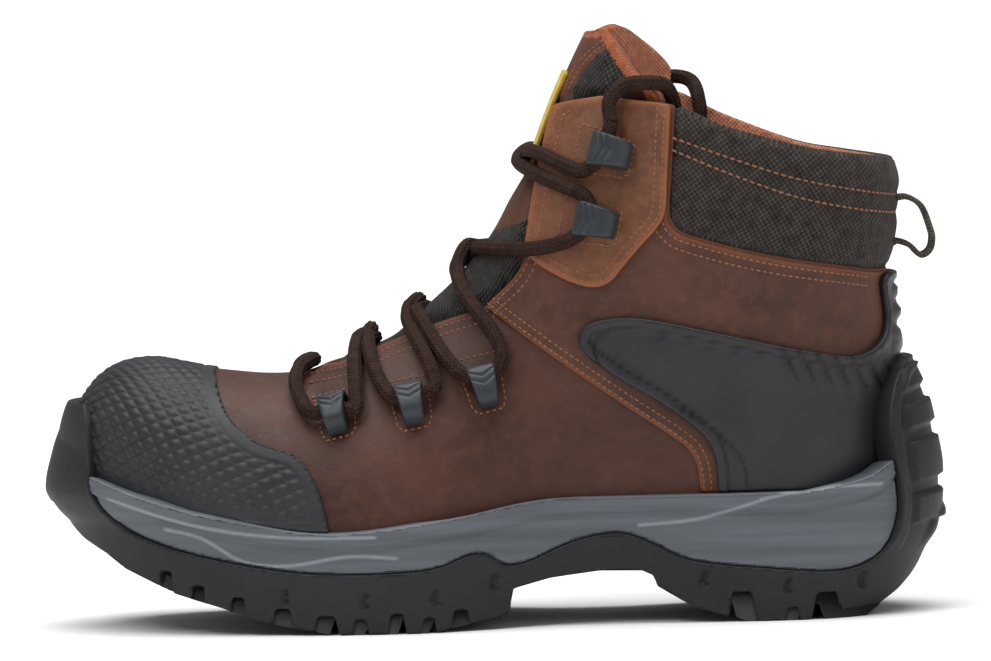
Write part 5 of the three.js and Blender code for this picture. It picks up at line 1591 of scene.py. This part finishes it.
def fitting(name, place_frame, floor, half_near, half_far):
    """A shield swept along the lace, with its roof in chevrons."""
    origin, along, away, out = place_frame
    roof, tunnel = arch_profile(floor)
    layers = np.concatenate([[-1, -0.97, -0.92], np.linspace(-0.84, 0.84, 17), [0.92, 0.97, 1]])
    rings = []
    for v in layers:
        rounding = 0.9 * (1 - np.sqrt(np.maximum(0, 1 - abs(v) ** 10)))
        bend = roof[:, 0] + 2.4 * abs(v)
        chevron = -0.6 * (np.exp(-((bend + 0.2) / 0.4) ** 2) + np.exp(-((bend - 2.6) / 0.4) ** 2))
        chevron = chevron * smooth((1.02 - abs(v)) / 0.2)
        lifted = np.clip((roof[:, 1] - floor) / 3, 0, 1)
        height = roof[:, 1] + lifted * (chevron - rounding)
        profile = np.concatenate([np.stack([roof[:, 0] * (1 - 0.05 * abs(v) ** 8), height], -1),
                                  tunnel[1:-1]])
        half = mix(half_near, half_far, (profile[:, 0] - FITTING_SHIFT + FITTING_HALF) / (2 * FITTING_HALF))
        rings.append(origin + profile[:, :1] * away + profile[:, 1:] * out + (v * half)[:, None] * along)
    count = len(rings[0])
    faces = []
    for r in range(len(layers) - 1):
        for j in range(count):
            k = (j + 1) % count
            faces.append((r * count + j, r * count + k, (r + 1) * count + k, (r + 1) * count + j))
    roof_count = len(roof)
    for r, turn in ((0, 1), (len(layers) - 1, -1)):
        start = r * count
        for j in range(roof_count - 1):
            a, b = start + j, start + j + 1
            c = start + count - j - 1 if j > 0 else start
            d = start + count - j - 2 if j < roof_count - 2 else start + roof_count - 1
            corners = list(dict.fromkeys((a, b, d, c)))
            if len(corners) > 2:
                faces.append(tuple(corners[::-1] if turn > 0 else corners))
    piece = make_object(name, np.concatenate(rings), faces, [fitting_plastic])
    mend_normals(piece)
    return piece


def mend_normals(piece):
    """Turns every face of a closed piece outward."""
    work = bmesh.new()
    work.from_mesh(piece.data)
    bmesh.ops.remove_doubles(work, verts=work.verts, dist=1e-6)
    bmesh.ops.recalc_face_normals(work, faces=work.faces)
    work.to_mesh(piece.data)
    work.free()


for side, label in ((1, "lateral"), (-1, "medial")):
    for index in range(3):
        piece = fitting(f"loop_shield_{label}_{index + 1}", fitting_frame(LOOP_PLACES, index, side, 1.0),
                        0.0, 5.2, 3.3)
        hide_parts(f"lace_loop_{label}_{index + 1}")
        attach(piece, "root")
    for index in range(2):
        piece = fitting(f"hook_shield_{label}_{index + 1}", fitting_frame(HOOK_PLACES, index, side, 2.9),
                        2.0, 6.2, 4.5)
        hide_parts(f"speed_hook_{label}_{index + 1}")
        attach(piece, "root")
print("loops and hooks ready")

# %% [markdown]
# ## Pull loop, label and insole
# A folded strip of webbing at the heel helps to pull the boot on, and a plain woven label
# is sewn to the tongue. Both are flat strips with their weave along their length.

# %% Pull loop
PULL_LINE = [(-142.8, 142.7), (-146.9, 142.9), (-151.7, 139.6), (-154.6, 131.9), (-155.2, 128.1),
             (-154.1, 124.3),
             (-150.9, 122.7), (-147.2, 126.2), (-143.1, 127.7), (-141.3, 127.1)]


def strap(name, line, width, thickness, material):
    """A flat closed strip in the side view's plane, centred on the middle of the boot."""
    p = np.array(line, float)
    left = shift_line(line, thickness / 2)
    right = shift_line(line, -thickness / 2)
    along = np.concatenate([[0], np.cumsum(np.linalg.norm(np.diff(p, axis=0), axis=1))])
    loop = np.concatenate([left, right[::-1]])
    run = np.concatenate([along, along[::-1]])
    columns = 12
    points, uv, faces = [], [], []
    for c in range(columns + 1):
        y = width * (c / columns - 0.5)
        points.extend((x, y, z) for x, z in loop)
        uv.extend((y, r) for r in run)
    n = len(loop)
    for c in range(columns):
        for j in range(n):
            k = (j + 1) % n
            faces.append((c * n + j, c * n + k, (c + 1) * n + k, (c + 1) * n + j))
    half = n // 2
    for c in (0, columns):
        for j in range(half - 1):
            faces.append((c * n + j, c * n + j + 1, c * n + n - j - 2, c * n + n - j - 1))
    piece = make_object(name, points, faces, [material], uv=uv)
    mend_normals(piece)
    return piece


pull_loop = strap("pull_loop_webbing", spline(PULL_LINE, 6), 14.0, 1.8, webbing)
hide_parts("pull_loop")
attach(pull_loop, "root")

# %% [markdown]
# ## Tongue label
# A plain woven label is sewn to the front of the tongue. It follows the tongue's puff,
# so it is cut from the same grid a little further out.

# %% Tongue label
TAB_PLACES = on_upper([(0.44, 0.82), (0.46, 0.9), (0.41, 1.095), (0.36, 1.045), (0.38, 0.875)])


def label_region(x, y, z):
    return np.minimum(polygon_distance(TAB_PLACES, x, z), 8.0 - np.abs(y - 1.0))


tongue_label = panel("tongue_label", tongue_grid, label_region, 0.2, 1.6, [tab_cloth], 0.4)
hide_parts("tongue_tab")
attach(tongue_label, "root")

# %% [markdown]
# ## Insole
# Only a little of the felt insole is seen, deep in the shaft. The fixed part already has
# its form and only takes a finish.

# %% Insole
for name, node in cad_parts.items():
    if not node.hide_render:
        print("fixed part with a plain finish:", name)
        node.data.materials.clear()
        node.data.materials.append(insole_felt)

# %% [markdown]
# ## Stitching
# A lockstitch shows as a row of short thread humps at an even pitch. Each row is only a
# line over the leather; a geometry node tree walks along it, sets a stitch at every
# pitch, turned along the line, and gives it the thread's finish. The pitch, the stitch's
# length and the thread's radius are the tree's named inputs.

# %% Stitch tree
def stitch_tree():
    tree = bpy.data.node_groups.new("stitch_rows", "GeometryNodeTree")
    tree.interface.new_socket("Geometry", in_out="INPUT", socket_type="NodeSocketGeometry")
    tree.interface.new_socket("Geometry", in_out="OUTPUT", socket_type="NodeSocketGeometry")
    for name in ("Pitch", "Stitch length", "Thread radius"):
        tree.interface.new_socket(name, in_out="INPUT", socket_type="NodeSocketFloat")
    entry = add(tree, "NodeGroupInput").outputs
    curve_line = add(tree, "GeometryNodeMeshToCurve", {"Mesh": entry["Geometry"]})
    stops = add(tree, "GeometryNodeCurveToPoints", {"Curve": curve_line.outputs["Curve"],
                                                    "Length": entry["Pitch"]},
                mode="LENGTH")
    facing = add(tree, "FunctionNodeAlignEulerToVector", {"Vector": stops.outputs["Tangent"]}, axis="X")
    hump = add(tree, "GeometryNodeMeshUVSphere", {"Segments": 8, "Rings": 6, "Radius": 1.0})
    size = add(tree, "ShaderNodeCombineXYZ", {"X": entry["Stitch length"], "Y": entry["Thread radius"],
                                              "Z": entry["Thread radius"]})
    placed = add(tree, "GeometryNodeInstanceOnPoints", {
        "Points": stops.outputs["Points"], "Instance": hump.outputs["Mesh"],
        "Rotation": facing.outputs["Rotation"], "Scale": size.outputs["Vector"]})
    real = add(tree, "GeometryNodeRealizeInstances", {"Geometry": placed.outputs["Instances"]})
    finished = add(tree, "GeometryNodeSetMaterial", {"Geometry": real.outputs["Geometry"],
                                                     "Material": thread_material})
    add(tree, "NodeGroupOutput", {"Geometry": finished.outputs["Geometry"]})
    return tree


stitches = stitch_tree()


def sew(name, rows, node_name, pitch=2.2, stitch=1.6, thread=0.34):
    """Rows of stitches over the boot, each row a list of points in millimetres."""
    points, edges = [], []
    for row in rows:
        start = len(points)
        points.extend(tuple(p * MM) for p in np.array(row, float))
        edges.extend((start + i, start + i + 1) for i in range(len(row) - 1))
    mesh = bpy.data.meshes.new(name + "_line")
    mesh.from_pydata(points, edges, [])
    guide = bpy.data.objects.new(name + "_line", mesh)
    bpy.context.scene.collection.objects.link(guide)
    modifier = guide.modifiers.new("stitches", "NODES")
    modifier.node_group = stitches
    values = {"Pitch": pitch, "Stitch length": stitch / 2, "Thread radius": thread}
    for socket in stitches.interface.items_tree:
        if socket.name in values:
            modifier[socket.identifier] = values[socket.name] * MM
    bpy.context.view_layer.update()
    sewn = bpy.data.meshes.new_from_object(guide.evaluated_get(bpy.context.evaluated_depsgraph_get()))
    sewn.name = name
    piece = bpy.data.objects.new(name, sewn)
    bpy.context.scene.collection.objects.link(piece)
    bpy.data.objects.remove(guide)
    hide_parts(node_name)
    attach(piece, "root")
    print(f"{name}: {len(rows)} rows, {len(sewn.polygons)} faces")


def row_over(line, side, height, region):
    """The stretches of a side-view line that lie where the region is positive, put on the last."""
    p = np.array(line, float)
    even = np.linspace(0, len(p) - 1, 12 * len(p))
    p = np.stack([np.interp(even, np.arange(len(p)), p[:, i]) for i in (0, 1)], -1)
    inside = region(p[:, 0], np.zeros(len(p)), p[:, 1]) > 0
    rows, current = [], []
    for (x, z), here in zip(p, inside):
        if here and z - rim_z(x) < 0.98 * ridge_rise(x):
            current.append(on_form((x, z), side, height(x, z) if callable(height) else height))
        elif current:
            rows.append(current)
            current = []
    if current:
        rows.append(current)
    return [row for row in rows if len(row) > 8]

# %% [markdown]
# ## Rows of stitches
# Seams run at an even distance from the edge they hold down, often in pairs. So each row
# is the panel's own cut line, moved sideways and kept where the leather is in view.

# %% Seams of the upper
def clear_of_counter(x, y, z):
    return np.minimum(-polygon_distance(counter_outline, x, z) - 0.5, over_rim(x, z) - 1.5)


def on_leather(x, y, z):
    return np.minimum.reduce([-in_opening(x, y, z) - 1.0, -in_cuff(x, y, z) - 1.0, clear_of_counter(x, y, z),
                              -polygon_distance(toe_cap_outline, x, z) - 0.6])


def off_facing(x, y, z):
    return np.minimum(on_leather(x, y, z), -polygon_distance(facing_outline, x, z) - 0.6)


def leather_height(x, z):
    over_quarter = polygon_distance(quarter_outline, np.array([x]), np.array([z]))[0] > 0
    return 1.0 if over_quarter else 0.0


throat_lower = spline(on_upper(THROAT_LINE[:6]), 6)
throat_upper = spline(on_upper(THROAT_LINE[5:10]), 6)
shaft_edge = np.array(throat_lower + throat_upper[1:])
cuff_under = spline(on_upper(CUFF_LINE), 6)
facing_edge = spline(on_upper(FACING_LINE), 6)
quarter_edge = spline(on_upper(QUARTER_LINE[1:]), 6)
rows = []
facing_rows = []
for side in (1, -1):
    for offset in (1.5, 4.0):
        rows += row_over(shift_line(quarter_edge, -offset), side, 1.0, off_facing)
    for offset in (2.0, 4.6):
        rows += row_over(shift_line(shaft_edge, offset), side, leather_height, off_facing)
        facing_rows += row_over(shift_line(shaft_edge, offset), side, 2.8,
                                lambda x, y, z: polygon_distance(facing_outline, x, z) - 1.5)
    for offset in (2.5, 5.5):
        rows += row_over(shift_line(cuff_under, offset), side, 1.0,
                         lambda x, y, z: np.minimum(off_facing(x, y, z), x + 130))
    for offset in (1.8, 4.2):
        facing_rows += row_over(shift_line(facing_edge, offset), side, 2.8,
                                lambda x, y, z: np.minimum(-in_opening(x, y, z) - 1.5, -in_cuff(x, y, z)
                                                           - 1.0))


def boxed(places, index, side, height, near, far, long):
    """A seam round a fitting, wider at the throat."""
    origin, along, away, out = fitting_frame(places, index, side, 0.0)
    corners = [(-long, -near), (-long, near), (long * 0.75, far), (long, far - 1.5), (long, 1.5 - far),
               (long * 0.75, -far), (-long, -near)]
    row = []
    for (a0, b0), (a1, b1) in zip(corners[:-1], corners[1:]):
        for t in np.linspace(0, 1, 16):
            point = origin + away * (a0 + (a1 - a0) * t) + along * (b0 + (b1 - b0) * t)
            row.append(on_form((point[0], point[2]), side, height))
    return row


for side in (1, -1):
    rows += [boxed(LOOP_PLACES, index, side, leather_height(*LOOP_PLACES[index]), 7.4, 5.8,
                   10.2) for index in range(3)]
    facing_rows += [boxed(HOOK_PLACES, index, side, 2.8, 8.4, 6.6, 9.6) for index in range(2)]
sew("upper_seams", rows, "upper")
sew("facing_seams_lateral", [row for row in facing_rows if row[0][1] > 0], "hook_facing_lateral")
sew("facing_seams_medial", [row for row in facing_rows if row[0][1] < 0], "hook_facing_medial")

# %% Seams of the cuff
cuff_seams = []
for side in (1, -1):
    for row in CUFF_ROWS:
        cuff_seams += row_over(row, side, 1.0, lambda x, y, z: np.minimum(in_cuff(x, y, z),
                                                                          -in_opening(x, y, z)) - 1.0)
window_line = spline([(x, z) for x, z in WEAVE_WINDOW[:8]], 6)
tongue_seams = []
for offset in (1.2, 2.8):
    tongue_seams += row_over(shift_line(window_line, -offset), 1, 0.1,
                             lambda x, y, z: np.minimum(in_tongue(x, y + 20, z) - 3.2, z - 176))
sew("tongue_seams", tongue_seams, "tongue", 1.9, 1.4, 0.3)
sew("cuff_seams", cuff_seams, "collar_cuff", 2.6, 2.0, 0.42)

# %% [markdown]
# ## Floor and light
# A pale floor, with one broad even light from above as a softbox ceiling gives, and two
# weaker soft lights from the sides that draw out the relief.

# %% Floor and light
FLOOR_HALF = 60.0
floor_points = [(x, y, 0.0) for x, y in ((-FLOOR_HALF, -FLOOR_HALF), (FLOOR_HALF, -FLOOR_HALF),
                                         (FLOOR_HALF, FLOOR_HALF), (-FLOOR_HALF, FLOOR_HALF))]
floor_faces = [(0, 1, 2, 3)]
floor_mesh = bpy.data.meshes.new("floor")
floor_mesh.from_pydata(floor_points, [], floor_faces)
floor = bpy.data.objects.new("floor", floor_mesh)
bpy.context.scene.collection.objects.link(floor)
floor_material, floor_tree, floor_shader = new_material("studio_paper", 0.9, Base_Color=colour("#f6f6f6"))
floor_mesh.materials.append(floor_material)

world = bpy.data.worlds.new("studio")
bpy.context.scene.world = world
world.use_nodes = True
world.node_tree.nodes["Background"].inputs["Color"].default_value = colour("#ffffff")
world.node_tree.nodes["Background"].inputs["Strength"].default_value = 0.3


def area_light(name, place, target, size, power):
    data = bpy.data.lights.new(name, "AREA")
    data.shape = "DISK"
    data.size = size
    data.energy = power
    light = bpy.data.objects.new(name, data)
    bpy.context.scene.collection.objects.link(light)
    light.location = place
    light.rotation_euler = (Vector(target) - Vector(place)).to_track_quat("-Z", "Y").to_euler()


area_light("key", (0.9, 1.2, 1.6), (0, 0, 0.08), 0.8, 12)
area_light("fill", (-1.3, 1.5, 0.7), (0, 0, 0.08), 1.4, 3)
ceiling = bpy.data.lights.new("ceiling", "SUN")
ceiling.energy = 3.3
ceiling.angle = math.radians(57)
bpy.context.scene.collection.objects.link(bpy.data.objects.new("ceiling", ceiling))
print("floor and lights ready")
